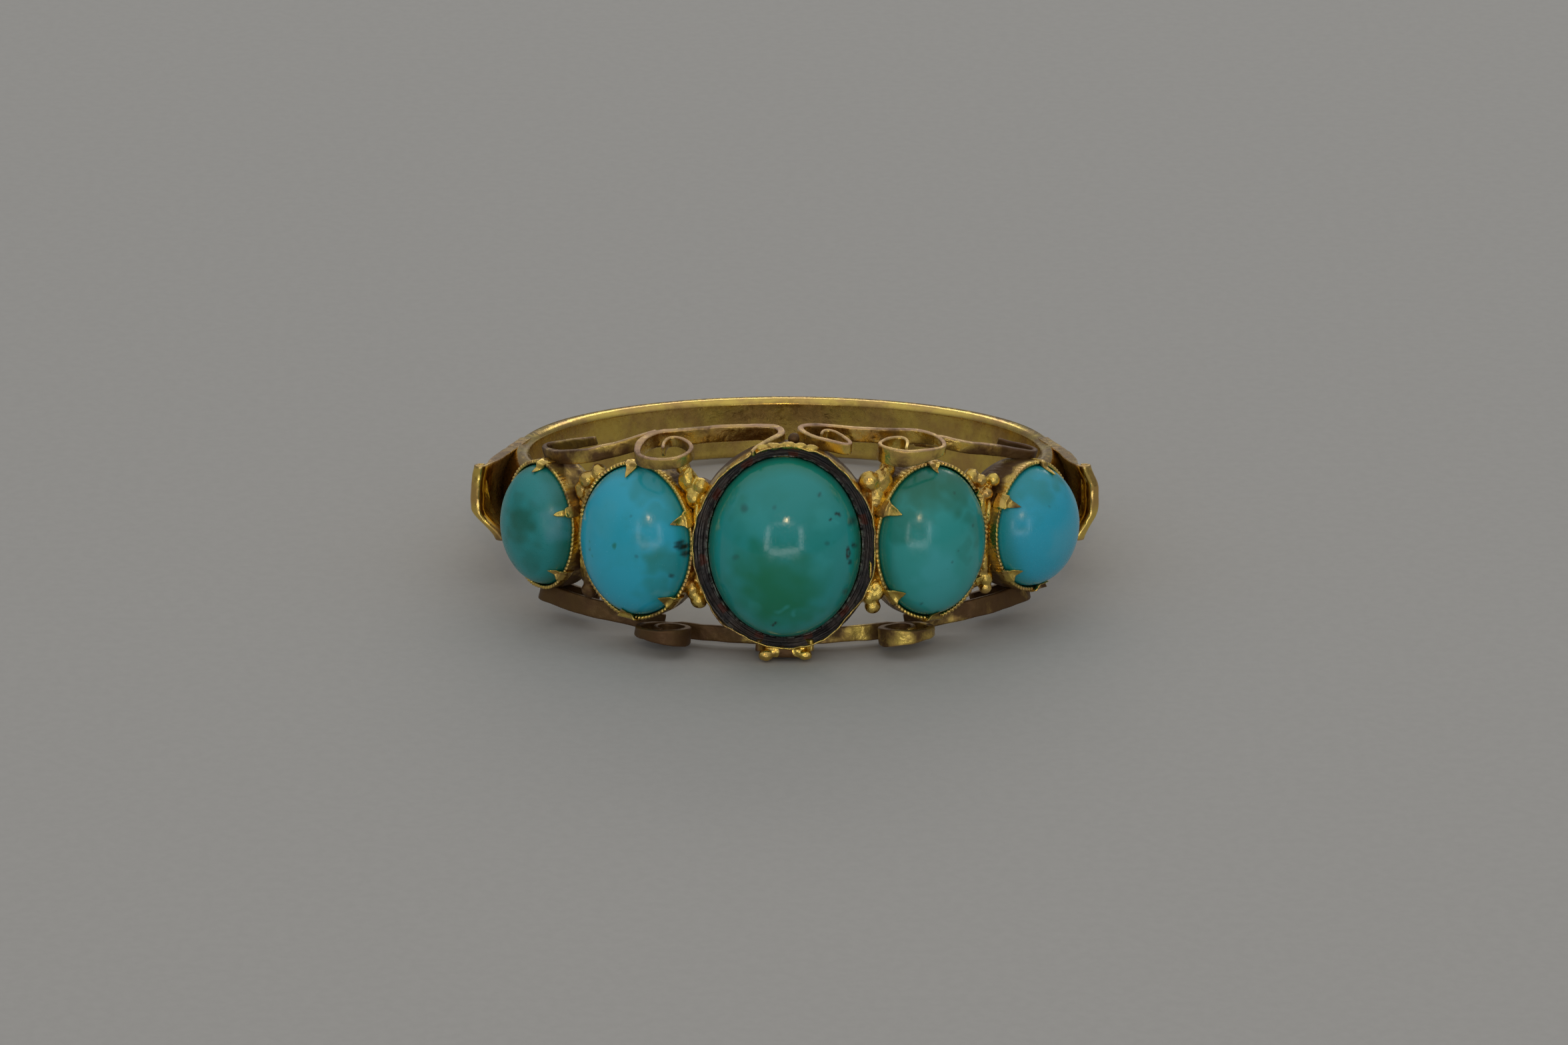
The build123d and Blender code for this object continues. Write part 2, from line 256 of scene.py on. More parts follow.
def makeGold(name, grimeAndShadeAmount, roughness, cast, mottle):
    # yellow gold with rosier patches, matt rubbed edges, and brown tarnish and painted shade that gather
    # where the mask says
    material, tree, shader = newMaterial(name)
    place = tree.place()
    broad = tree.noise(place, 900, 4.0, 0.6)
    fine = tree.noise(place, 5200, 4.0, 0.65)
    spots = tree.noise(place, 2300, 3.0, 0.7, 0.4)
    colour = tree.mix(tree.ramp(broad, 0.38, 0.66), goldFinish["yellow"], goldFinish["rosy"])
    edge = tree.times(tree.mask("edge"), tree.ramp(fine, 0.2, 0.5))
    colour = tree.mix(edge, colour, goldFinish["edge"])
    # the mask and noise spots mix in a dark brown that is both tarnish and painted shade
    dirtAndShade = tree.plus(tree.times(spots, mottle), tree.mask("grimeAndShade"))
    dirtAndShade = tree.ramp(dirtAndShade, 0.55, 1.05, 0.0, grimeAndShadeAmount)
    tree.join(tree.mix(dirtAndShade, colour, goldFinish["grimeAndShade"]), shader.inputs["Base Color"])
    tree.join(tree.less(1.0, tree.times(dirtAndShade, 0.45)), shader.inputs["Metallic"])
    rough = tree.ramp(fine, 0.3, 0.7, roughness - 0.07, roughness + 0.1)
    rough = tree.plus(rough, tree.times(tree.math("MAXIMUM", dirtAndShade, edge), 0.25))
    tree.join(rough, shader.inputs["Roughness"])
    height = tree.plus(tree.times(spots, 1.6), fine)
    tree.join(tree.bump(height, cast, goldFinish["castDepth"]), shader.inputs["Normal"])
    return material


def makeTurquoise(name, stone):
    # polished opaque stone: masks place its deeper, paler and matrix patches, the painted shade round its
    # edge and a painted sheen on some, and noise clouds its colour
    material, tree, shader = newMaterial(name)
    place = tree.place()
    cloud = tree.noise(place, 620, 4.0, 0.55, 0.3)
    fine = tree.noise(place, 3600, 3.0, 0.6)
    scuff = tree.noise(place, 9000, 2.0, 0.7)
    # the deep mask also carries painted shade round the stone's edge
    factor = tree.plus(tree.mask("deep"), tree.ramp(cloud, 0.35, 0.75, -0.12, 0.16))
    colour = tree.mix(factor, stone["body"], stone["deepAndEdgeShadeTint"])
    # paler patches, and a painted sheen on the upper left
    colour = tree.mix(tree.mask("paleAndSheen"), colour, stone["paleAndSheenTint"])
    colour = tree.mix(tree.ramp(fine, 0.62, 0.8, 0.0, 0.16), colour, stone["deepAndEdgeShadeTint"])
    colour = tree.mix(tree.mask("speck"), colour, stoneFinish["matrix"])
    tree.join(colour, shader.inputs["Base Color"])
    gloss = stone["gloss"]
    tree.join(tree.ramp(scuff, 0.35, 0.75, gloss - 0.03, gloss + 0.09), shader.inputs["Roughness"])
    shader.inputs["IOR"].default_value = stoneFinish["index"]
    lay = tree.nodes.new("ShaderNodeMapping")        # drawn out across the stone, for its scratches
    tree.join(place, lay.inputs["Vector"])
    lay.inputs["Rotation"].default_value = stoneFinish["scratchTurn"]
    lay.inputs["Scale"].default_value = stoneFinish["scratchStretch"]
    scratch = tree.ramp(tree.noise(lay.outputs["Vector"], 7000, 3.0, 0.7), 0.55, 0.7)
    height = tree.less(fine, tree.times(tree.mask("speck"), 1.5))
    height = tree.less(height, tree.times(scratch, 0.5))
    tree.join(tree.bump(height, 0.2, stoneFinish["scratchDepth"]), shader.inputs["Normal"])
    return material


def makeFilling(name):
    # blackened setting metal with drawn scratches, red-brown stubs and a grey crust at the stone
    material, tree, shader = newMaterial(name)
    place = tree.place()
    grain = tree.noise(place, 4200, 4.0, 0.7, 0.6)
    broad = tree.noise(place, 1300, 3.0, 0.6)
    colour = tree.mix(tree.ramp(broad, 0.35, 0.7), fillingFinish["black"], fillingFinish["brown"])
    colour = tree.mix(tree.ramp(grain, 0.6, 0.78, 0.0, 0.7), colour, fillingFinish["grey"])
    scratch = tree.times(tree.mask("scratch"), tree.ramp(grain, 0.35, 0.6))
    colour = tree.mix(scratch, colour, fillingFinish["scratch"])
    colour = tree.mix(tree.mask("stub"), colour, fillingFinish["stub"])
    crust = tree.times(tree.mask("crust"), tree.ramp(grain, 0.4, 0.62))
    colour = tree.mix(crust, colour, fillingFinish["crust"])
    tree.join(colour, shader.inputs["Base Color"])
    shader.inputs["Metallic"].default_value = fillingFinish["metallic"]
    tree.join(tree.ramp(grain, 0.3, 0.7, 0.32, 0.6), shader.inputs["Roughness"])
    tree.join(tree.bump(grain, 0.8, fillingFinish["grainDepth"]), shader.inputs["Normal"])
    return material


colletGold = makeGold("colletGold", grimeAndShadeAmount=0.95, roughness=0.2, cast=0.5, mottle=0.7)
railGold = makeGold("railGold", grimeAndShadeAmount=0.93, roughness=0.24, cast=0.4, mottle=0.8)
solderGold = makeGold("solderGold", grimeAndShadeAmount=0.95, roughness=0.2, cast=0.8, mottle=0.7)
bandGold = makeGold("bandGold", grimeAndShadeAmount=0.6, roughness=0.16, cast=0.12, mottle=0.55)
fillingBlack = makeFilling("fillingBlack")
print("finishes made")


def around(place, points):
    # carries local points (across, along the finger, distance from its axis) to a place on the seats' arc
    angle = place / ring["seat"]
    across, along, out = points[..., 0], points[..., 1], points[..., 2]
    x = across * np.cos(angle) + out * np.sin(angle)
    y = across * np.sin(angle) - out * np.cos(angle)
    return np.stack([x, y, along], -1)


def radiusOf(points):
    # distance from the finger's axis
    return np.hypot(points[:, 0], points[:, 1])


# stones: their deep, pale and speck rows are: across, along (mm from the stone's middle), radius, strength; a
# pale row on the upper left of three stones is a painted sheen
stones = {
    "stone_center": {
        "place": 0.0, "lift": 0.0, "width": 5.0, "length": 6.0, "dome": 2.0, "gloss": 0.12,
        "body": (0.020, 0.33, 0.325), "deepAndEdgeShadeTint": (0.005, 0.215, 0.115), "paleAndSheenTint": (0.045, 0.43, 0.44),
        "deep": [(-0.2, -1.1, 2.1, 0.95), (-0.8, 0.0, 1.1, 0.6), (0.5, -1.6, 1.1, 0.7),
                 (0.0, 0.3, 0.8, 0.4), (-1.5, 1.5, 0.5, 0.3)],
        # pale patches, with a painted sheen at (-1.0, 1.3) on the upper left
        "paleAndSheen": [(-0.1, -1.75, 0.2, 0.4), (0.25, -2.0, 0.16, 0.4), (-0.9, -1.6, 0.25, 0.25),
                 (1.2, -0.3, 0.5, 0.25), (1.3, 1.3, 0.6, 0.4), (-1.0, 1.3, 0.8, 0.35),
                 (1.55, 1.05, 0.12, 0.5)],
        "speck": [(1.1, 2.01, 0.08, 0.6), (1.66, 1.34, 0.07, 0.95), (1.76, 1.29, 0.07, 0.95),
                  (1.45, 1.23, 0.06, 0.9), (2.04, 0.15, 0.1, 1.0), (2.0, 0.04, 0.07, 1.0),
                  (2.04, -0.08, 0.1, 1.0), (2.12, 0.02, 0.07, 1.0), (2.11, -0.29, 0.08, 0.9),
                  (2.28, 0.23, 0.1, 0.9), (-0.28, -2.24, 0.06, 1.0), (-0.33, -2.29, 0.05, 1.0),
                  (-0.38, -2.34, 0.06, 1.0), (1.36, 0.44, 0.08, 0.4), (-1.6, -0.03, 0.13, 0.35),
                  (-1.32, 1.59, 0.16, 0.45), (-0.32, 1.66, 0.1, 0.3), (2.2, 1.0, 0.16, 0.6),
                  (2.0, -1.3, 0.14, 0.5)],
    },
    "stone_left_inner": {
        "place": -4.74, "lift": 0.1, "width": 4.0, "length": 5.0, "dome": 1.6, "gloss": 0.19,
        "body": (0.030, 0.48, 0.68), "deepAndEdgeShadeTint": (0.018, 0.28, 0.26), "paleAndSheenTint": (0.11, 0.46, 0.52),
        "deep": [(1.6, -0.5, 0.95, 0.75), (1.3, -1.6, 0.9, 0.6), (0.6, 2.1, 0.9, 0.6), (1.4, 1.2, 0.7, 0.4),
                 (-0.08, 0.06, 0.17, 0.9), (-0.02, 0.0, 0.12, 0.8), (-1.07, -0.16, 0.1, 0.6),
                 (0.75, 0.3, 0.5, 0.3)],
        # a pale spot, with a painted sheen at (-0.6, 0.9) on the upper left
        "paleAndSheen": [(1.29, -1.64, 0.22, 0.6), (-0.6, 0.9, 0.8, 0.25)],
        "speck": [(1.82, 0.2, 0.11, 0.9), (1.9, 0.03, 0.14, 1.0), (1.96, -0.2, 0.11, 0.9),
                  (1.78, 0.08, 0.08, 0.9), (1.65, -0.92, 0.07, 0.7), (0.75, -0.21, 0.07, 0.35),
                  (0.5, 1.09, 0.06, 0.3), (-1.1, -0.2, 0.06, 0.4)],
    },
    "stone_right_inner": {
        "place": 4.66, "lift": 0.12, "width": 3.9, "length": 5.0, "dome": 1.55, "gloss": 0.17,
        "body": (0.034, 0.38, 0.37), "deepAndEdgeShadeTint": (0.014, 0.20, 0.135), "paleAndSheenTint": (0.07, 0.48, 0.54),
        "deep": [(-0.69, 2.09, 1.4, 0.95), (0.35, 1.83, 1.2, 0.85), (-1.5, 0.8, 0.9, 0.6),
                 (1.3, 0.6, 0.9, 0.5), (0.6, -0.2, 0.4, 0.3)],
        # paler lower patches, with a painted sheen at (-0.8, 0.7) on the upper left
        "paleAndSheen": [(-0.51, -0.65, 1.0, 0.55), (-0.3, -1.5, 1.0, 0.45), (-0.8, 0.7, 0.4, 0.2)],
        "speck": [(0.92, 0.63, 0.07, 0.4), (0.04, -0.45, 0.06, 0.4), (0.36, 1.71, 0.06, 0.4),
                  (-0.7, -1.9, 0.07, 0.5), (0.3, -0.1, 0.05, 0.3)],
    },
    "stone_left_outer": {
        "place": -8.48, "lift": 0.24, "width": 3.24, "length": 4.05, "dome": 1.4, "gloss": 0.3,
        "body": (0.018, 0.30, 0.31), "deepAndEdgeShadeTint": (0.010, 0.15, 0.11), "paleAndSheenTint": (0.07, 0.33, 0.40),
        "deep": [(0.3, 0.16, 0.95, 0.9), (0.1, 0.8, 0.7, 0.5), (0.5, -0.9, 0.6, 0.4)],
        "paleAndSheen": [(1.45, 0.48, 0.45, 0.5), (1.4, 0.0, 0.4, 0.5), (0.9, 1.3, 0.5, 0.2)],
        "speck": [(-0.4, -1.3, 0.12, 0.35)],
    },
    "stone_right_outer": {
        "place": 8.43, "lift": 0.48, "width": 3.7, "length": 4.05, "dome": 1.55, "gloss": 0.22,
        "body": (0.028, 0.44, 0.64), "deepAndEdgeShadeTint": (0.018, 0.29, 0.29), "paleAndSheenTint": (0.12, 0.46, 0.60),
        "deep": [(-0.77, 1.53, 1.0, 0.7), (0.3, 1.8, 0.9, 0.7), (-1.4, 0.3, 0.5, 0.3)],
        "paleAndSheen": [(0.0, -0.3, 0.9, 0.3)],
        "speck": [(-0.6, 0.9, 0.05, 0.3)],
    },
}
# edgeShade is how dark the painted shade at the stone's girdle is
stoneShape = {"round": 200, "up": 92, "chamfer": 0.03, "skirt": 0.09, "wobble": 0.012, "edgeShade": 0.75,
              "speckGrow": 1.25, "bend": 0.12}


def atStone(stone, local):
    # a stone's own points, carried to its place and lifted off the seats' arc as the stone is
    return around(stone["place"], local + [0.0, 0.0, stone["lift"]])


def headLift(place):
    # how far the seats stand out at a place between two stones
    rows = sorted(stones.values(), key=lambda row: row["place"])
    return float(np.interp(place, [row["place"] for row in rows], [row["lift"] for row in rows]))


def makeStone(name, stone):
    # rings of an oval, from the base's middle over the girdle to the dome's top: angle round by height
    turn = fullTurn(stoneShape["round"])
    lift = np.linspace(0, np.pi / 2, stoneShape["up"])[:-1]
    share = np.concatenate([[0.5, 0.94, 0.985, 1.0, 1.0], np.cos(lift)[1:]])
    seat, girdle = ring["seat"], ring["girdle"]
    skirt = [seat, seat, seat + stoneShape["chamfer"], seat + stoneShape["skirt"], girdle]
    level = np.concatenate([skirt, girdle + stone["dome"] * np.sin(lift)[1:]])
    across = share[:, None] * stone["width"] / 2 * np.cos(turn)
    along = share[:, None] * stone["length"] / 2 * np.sin(turn)
    local = np.stack([across, along, np.broadcast_to(level[:, None], across.shape)], -1)
    wobble = castNoise(local, 1.3, 3) * stoneShape["wobble"] * softStep(level, 10.0, 10.4)[:, None]
    local[..., 2] -= np.abs(wobble)
    shell = tubeShell(atStone(stone, local))
    flat = np.concatenate([local.reshape(-1, 3), [local[0].mean(0), local[-1].mean(0)]])

    def patch(rows, seed, soft, grow=1.0):
        # each row is a spot that fades from its strength at the middle to nothing at its radius
        bend = np.stack([softNoise(flat, 0.35, seed), softNoise(flat, 0.35, seed + 5)], -1)
        bent = flat[:, :2] + stoneShape["bend"] * bend * soft
        value = np.zeros(len(flat))
        for x, y, radius, strength in rows:
            far = np.hypot(bent[:, 0] - x, bent[:, 1] - y) / (radius * grow)
            value = np.maximum(value, strength * (1 - softStep(far, 0.25 if soft else 0.55, 1.0)))
        return value

    # painted shade: the stone darkens towards its girdle, as if the collet shaded it
    edge = np.hypot(2 * flat[:, 0] / stone["width"], 2 * flat[:, 1] / stone["length"])
    paintedEdgeShade = stoneShape["edgeShade"] * softStep(edge, 0.82, 1.0)
    # the deep mask holds deeper patches and the painted shade at the edge
    masks = {"deep": lambda points: np.maximum(patch(stone["deep"], 11, 3), paintedEdgeShade),
             # the pale mask holds paler patches and a painted sheen
             "paleAndSheen": lambda points: patch(stone["paleAndSheen"], 23, 2),
             "speck": lambda points: patch(stone["speck"], 31, 0.45, stoneShape["speckGrow"])}
    material = makeTurquoise(name + "Turquoise", stone)
    addPiece(name + "_cabochon", [shell], material, masks, (name,))


for stoneName, stone in stones.items():
    makeStone(stoneName, stone)
print("stones made")

# collets
collet = {"foot": 8.85, "footShare": 0.72, "belly": 9.45, "wall": 0.15, "inner": 0.03, "edgeRound": 0.03,
          "rimDrop": 0.02, "bead": 0.15, "beadDepth": 0.07, "samples": 720, "rough": 0.012}
centerCollet = {"side": 0.53, "end": 0.43, "lip": 0.06, "wobble": 0.09, "top": 10.38, "samples": 560}


def ovalPoints(halfWidth, halfLength, turn):
    # an oval by cosine and sine of the angle, each times its own half size
    return np.stack([halfWidth * np.cos(turn), halfLength * np.sin(turn)], -1)


def colletRings(stone, side, end, lip, top, samples, rimRise):
    # a cup: its outer wall swells from the foot to the belly and stands up to the rim, and its inner wall
    # drops from there to the seat
    turn = fullTurn(samples)
    a, b = stone["width"] / 2 + side, stone["length"] / 2 + end
    rise, grow = rimRise(turn, a, b)
    foot, belly, seat = collet["foot"] - stone["lift"], collet["belly"], ring["seat"]
    shoulder = top - collet["edgeRound"]
    profile = []        # half width, half length, level, and how much of the rim's rise each ring takes
    for share in np.linspace(0, 1, 12):
        scale = collet["footShare"] + (1 - collet["footShare"]) * math.sin(share * math.pi / 2) ** 0.9
        profile.append((a * scale, b * scale, foot + (belly - foot) * share, 0.0))
    for share in (0.25, 0.5, 0.72, 0.86, 0.94):
        profile.append((a, b, belly + (shoulder - belly) * share, share ** 4))
    for step in np.linspace(0, np.pi, 7):
        inwards = lip / 2 * (1 - math.cos(step))
        profile.append((a - inwards, b - inwards, shoulder + collet["edgeRound"] * math.sin(step), 1.0))
    for level in (top - 0.1, 10.0, seat - 0.02):
        profile.append((a - lip, b - lip, level, 0.0))
    profile.append(((a - lip) * 0.5, (b - lip) * 0.5, seat - 0.05, 0.0))
    rings = []
    for halfWidth, halfLength, level, share in profile:
        flat = ovalPoints(halfWidth, halfLength, turn)
        out = flat / np.linalg.norm(flat, axis=1, keepdims=True)
        flat = flat + out * (grow * max(share, 0.25))[:, None]
        rings.append(np.concatenate([flat, (level + rise * share)[:, None]], 1))
    return np.array(rings)


def beadedRim(seed):
    # small beads along the rim: a rectified sine along the arc, with some beads worn down
    def rimRise(turn, a, b):
        arc = (a + b) / 2 * turn
        count = round(np.pi * (a + b) / collet["bead"])
        bead = np.abs(np.sin(turn * count / 2))
        spot = np.stack([arc, np.zeros_like(arc) + seed, np.zeros_like(arc)], -1)
        worn = 0.55 + 0.45 * softNoise(spot, 0.6, seed)
        wave = 0.03 * softNoise(spot, 1.1, seed + 4)
        rise = collet["beadDepth"] * bead * worn - 0.06 + wave
        return rise, 0.035 * bead * worn - 0.015 + 0.025 * softNoise(spot, 0.9, seed + 8)
    return rimRise


def raggedRim(turn, a, b):
    # the wide collet's rim bends in short facets and dips unevenly
    spot = np.stack([a * np.cos(turn), b * np.sin(turn), np.zeros_like(turn)], -1)
    rise = 0.06 * castNoise(spot, 0.7, 41) + 0.03 * softNoise(spot, 0.14, 44)
    grow = centerCollet["wobble"] * softNoise(spot, 0.9, 47) + 0.03 * softNoise(spot, 0.28, 49) - 0.03
    return rise, grow


def colletMasks(lift):
    # darker deeper towards the finger, and on the inner wall; the rim's crest is rubbed
    def grimeAndShade(points):
        patches = 0.7 + 0.3 * softNoise(points, 0.6, 13) + 0.2 * softNoise(points, 0.2, 19)
        return patches - softStep(radiusOf(points) - lift, 9.9, 10.4) * 0.5
    return goldMasks(grimeAndShade, lambda points: softStep(radiusOf(points) - lift, 10.33, 10.45) * 0.2)


for index, (stoneName, stone) in enumerate(stones.items()):
    if stoneName == "stone_center":
        sizes = [centerCollet[key] for key in ("side", "end", "lip", "top", "samples")]
        rings = colletRings(stone, *sizes, raggedRim)
    else:
        wall, top = collet["wall"], ring["rim"] - collet["rimDrop"]
        rim = beadedRim(60 + index)
        rings = colletRings(stone, wall, wall, wall - collet["inner"], top, collet["samples"], rim)
    rough = castNoise(rings, 0.35, 70 + index)[..., None] * np.array([1, 1, 0.5])
    shell = tubeShell(atStone(stone, rings + collet["rough"] * rough))
    addPiece(stoneName.replace("stone", "collet"), [shell], colletGold, colletMasks(stone["lift"]))
print("collets made")

# claws: direction from the ring's right towards +Z, reach over the stone, half width at root, whether pointed
claws = {
    "stone_left_inner": [(91, 0.4, 0.25, True), (21, 0.36, 0.27, True), (-48, 0.36, 0.28, True),
                         (-97, 0.4, 0.34, True)],
    "stone_right_inner": [(90, 0.28, 0.2, True), (150, 0.38, 0.3, True), (221, 0.36, 0.3, True),
                          (-89, 0.3, 0.3, True), (34, 0.18, 0.15, True), (-35, 0.18, 0.15, True)],
    "stone_left_outer": [(83, 0.28, 0.2, False), (19, 0.28, 0.17, False), (-45, 0.3, 0.2, True)],
    "stone_right_outer": [(79, 0.36, 0.15, False), (149, 0.32, 0.24, True), (222, 0.3, 0.26, True),
                          (-85, 0.3, 0.28, True)],
}
claw = {"thick": 0.1, "lift": 0.02, "rows": 26, "columns": 15, "rib": 0.09, "crown": 0.05, "below": 0.35,
        "overhang": 0.13, "tip": 0.012, "lean": 0.07, "rough": 0.012}


def clawShell(stone, direction, reach, half, pointed, seed):
    # a tapering tab that climbs the collet's wall, folds over the rim and lies on the dome; a pointed one has
    # its edges turned up, and a round one is fuller in the middle
    turn = math.radians(direction)
    edge = np.array([math.cos(turn) * stone["width"] / 2, math.sin(turn) * stone["length"] / 2])
    out = np.array([math.cos(turn) / stone["width"], math.sin(turn) / stone["length"]])
    out /= np.linalg.norm(out)
    side = np.array([-out[1], out[0]])
    s = np.linspace(0, 1, claw["rows"])
    t = np.linspace(-1, 1, claw["columns"])
    travel = -claw["below"] + (reach + claw["below"]) * s     # from below the rim's outside to the point
    inwards = np.maximum(travel, 0) - claw["overhang"]        # distance in from the girdle's edge
    taper = np.clip(1 - np.maximum(travel, 0) / reach, 0, 1)
    fray = softNoise(np.stack([s * 2, s * 0 + seed, s * 0], -1), 0.5, seed)
    width = half * (taper ** (0.9 if pointed else 0.45)) * (1 + 0.1 * fray) + claw["tip"]
    flat = edge - out * inwards[:, None, None] + side * (width[:, None] * t)[..., None]
    share = (2 * flat[..., 0] / stone["width"]) ** 2 + (2 * flat[..., 1] / stone["length"]) ** 2
    dome = ring["girdle"] + stone["dome"] * np.clip(1 - share, 0, 1) ** 0.5
    level = np.maximum(dome + claw["lift"], ring["rim"] - 0.01)
    level = np.where(travel[:, None] < 0, level + travel[:, None] * 1.3, level)
    for _ in range(3):                                        # rounds the fold
        level[1:-1] = (level[:-2] + 2 * level[1:-1] + level[2:]) / 4
    level = np.maximum(level, np.where(travel[:, None] < 0, 0, dome + claw["lift"] * 0.5))
    turnedUp = claw["rib"] * np.abs(t) ** 2 * softStep(taper, 0.05, 0.6)[:, None]
    rib = turnedUp if pointed else claw["crown"] * (1 - t ** 2)
    under = np.concatenate([flat, level[..., None]], -1)
    thick = claw["thick"] * (0.55 + 0.45 * np.sqrt(np.clip(1 - np.abs(t) ** 6, 0, 1)))
    above = np.concatenate([flat, (level + thick + rib)[..., None]], -1)
    above[..., :2] += out * (claw["lean"] * softStep(-travel, 0.0, 0.2))[:, None, None]
    rings = np.concatenate([above, under[:, ::-1]], 1)
    rings = rings + claw["rough"] * castNoise(rings, 0.12, seed)[..., None]
    return tubeShell(atStone(stone, rings))


for stoneName, rows in claws.items():
    shells = [clawShell(stones[stoneName], *row, 100 + 7 * k + len(stoneName)) for k, row in enumerate(rows)]
    clawMasks = goldMasks(lambda points: 0.3 + 0.3 * softNoise(points, 0.5, 9))
    addPiece(stoneName.replace("stone", "claws"), shells, colletGold, clawMasks)
print("claws made")

# the wide collet's dark band, and its stubs: direction, half width along the arc, strength
band = {"rimSide": 3.02, "rimEnd": 3.42, "gap": 0.05, "stoneGap": 0.035, "top": 10.31, "bottom": 9.99,
        "drop": 0.2, "crust": 0.12, "rings": 26, "samples": 720, "markSide": 2.9, "markEnd": 3.25,
        "stubSide": 2.95, "stubEnd": 3.3}
stubs = [(18, 0.2, 0.9), (84, 0.22, 1.0), (116, 0.24, 1.0), (144, 0.22, 1.0), (188, 0.18, 0.9),
         (222, 0.2, 0.9), (253, 0.2, 0.9), (286, 0.18, 0.9), (315, 0.22, 1.0)]


def makeBand():
    # a sloping ring between two ovals: share 0 at the rim's inside to 1 at the stone, closed below
    halfWidth, halfLength = stones["stone_center"]["width"] / 2, stones["stone_center"]["length"] / 2
    turn = fullTurn(band["samples"])
    none = np.zeros_like(turn)
    outer = ovalPoints(band["rimSide"] - band["gap"], band["rimEnd"] - band["gap"], turn)
    inner = ovalPoints(halfWidth + band["stoneGap"], halfLength + band["stoneGap"], turn)
    rings, scratches = [], []
    for share in np.linspace(0, 1, band["rings"]):
        flat = outer * (1 - share) + inner * share
        spot = np.concatenate([flat, none[:, None]], 1)
        drawn = softNoise(np.stack([turn * 0.8, none + share * 9, none], -1), 0.3, 83)
        level = band["top"] - band["drop"] * share ** 0.8 + 0.07 * castNoise(spot, 0.4, 81) + 0.035 * drawn
        level += band["crust"] * softStep(share, 0.72, 0.92) * softStep(softNoise(spot, 0.22, 87), -0.1, 0.5)
        rings.append(np.concatenate([flat, level[:, None]], 1))
        fine = softNoise(np.stack([turn * 1.2, share * 16 + 0.3 * np.sin(turn * 3), none], -1), 0.5, 85)
        scratches.append(softStep(fine, 0.15, 0.6) * (0.45 + 0.55 * softStep(-np.cos(turn), -0.2, 0.8)))
    below = [np.concatenate([flat, np.full((len(turn), 1), band["bottom"])], 1) for flat in (inner, outer)]
    local = np.array(rings + below)
    marks = np.concatenate(scratches + [none, none])

    def shareOf(points):
        # 0 at the rim to 1 at the stone
        inside = np.hypot(points[:, 0] / halfWidth, points[:, 2] / halfLength)
        outside = np.hypot(points[:, 0] / band["markSide"], points[:, 2] / band["markEnd"])
        return np.clip((1 - outside) / np.maximum(inside - outside, 1e-6), 0, 1)

    def stubMask(points):
        # each stub fades out along the arc on both sides of its direction
        angle = np.degrees(np.arctan2(points[:, 2] / band["stubEnd"], points[:, 0] / band["stubSide"])) % 360
        value = np.zeros(len(points))
        for direction, half, strength in stubs:
            far = np.abs((angle - direction + 180) % 360 - 180) * math.pi / 180 * halfLength
            far = far + 0.06 * softNoise(points, 0.15, 91)
            value = np.maximum(value, strength * (1 - softStep(far, half * 0.75, half)))
        return value * softStep(shareOf(points), 0.1, 0.3)

    masks = {"scratch": lambda points: marks, "stub": stubMask,
             "crust": lambda points: softStep(shareOf(points), 0.6, 0.9) * 0.9}
    shell = loopShell(around(0, local))
    addPiece("center_collet_band", [shell], fillingBlack, masks, ("center_collet_fill",))


makeBand()
print("dark band made")

# strips on edge
rail = {"radius": 8.97, "thick": 0.22, "height": 0.62, "corner": 0.045, "rough": 0.022, "outerHeading": 172,
        "lowerRun": 3.3, "perSide": 7}
cornerPoints = 4


def stripProfile(perSide):
    # a rounded oblong's outline as shares of its half width and half height, and its corners' directions
    shares, turns = [], []
    corners = [(1, 1, 0), (-1, 1, 90), (-1, -1, 180), (1, -1, 270)]
    for k, (x, z, start) in enumerate(corners):
        for step in range(cornerPoints):
            shares.append((x, z))
            turns.append(start + 90 * step / (cornerPoints - 1))
        nextX, nextZ, _ = corners[(k + 1) % 4]
        for step in range(1, perSide):
            share = step / perSide
            shares.append((x + (nextX - x) * share, z + (nextZ - z) * share))
            turns.append(start + 90)
    turns = np.radians(turns)
    return np.array(shares, float), np.stack([np.cos(turns), np.sin(turns)], -1)


def stripRings(path, thick, height, kind, seed):
    # carries a rounded oblong along a plan path: its width across it, its height below the path's own height
    shares, corners = stripProfile(kind["perSide"])
    corner, rough = kind["corner"], kind["rough"]
    tangent = np.gradient(path[:, :2], axis=0)
    tangent /= np.linalg.norm(tangent, axis=1, keepdims=True)
    left = np.stack([-tangent[:, 1], tangent[:, 0]], -1)
    count = len(path)
    thick, height = np.broadcast_to(thick, count), np.broadcast_to(height, count)
    inset = np.array([0.55, 0.2, 0.0])        # the ends are rounded over three rings
    order = np.concatenate([[0, 0, 0], np.arange(1, count - 1), [count - 1] * 3])
    shrink = np.concatenate([inset, np.zeros(count - 2), inset[::-1]]) * corner * 1.6
    push = np.concatenate([[-1.0, -0.6, 0.0], np.zeros(count - 2), [0.0, 0.6, 1.0]]) * corner
    centre, ahead, aside = path[order], tangent[order], left[order]
    halfWide, halfHigh = thick[order] / 2 - shrink, height[order] / 2 - shrink
    across = shares[:, 0] * (halfWide[:, None] - corner) + corners[:, 0] * corner
    up = shares[:, 1] * (halfHigh[:, None] - corner) + corners[:, 1] * corner
    plan = centre[:, None, :2] + ahead[:, None] * push[:, None, None]
    level = centre[:, None, 2] - height[order][:, None] / 2 + up
    rings = np.concatenate([plan + aside[:, None] * across[..., None], level[..., None]], -1)
    wave = rough * castNoise(rings, 0.28, seed)
    rings[..., :2] += aside[:, None] * wave[..., None]
    rings[..., 2] += 0.7 * rough * softNoise(rings, 0.5, seed + 9)
    return rings


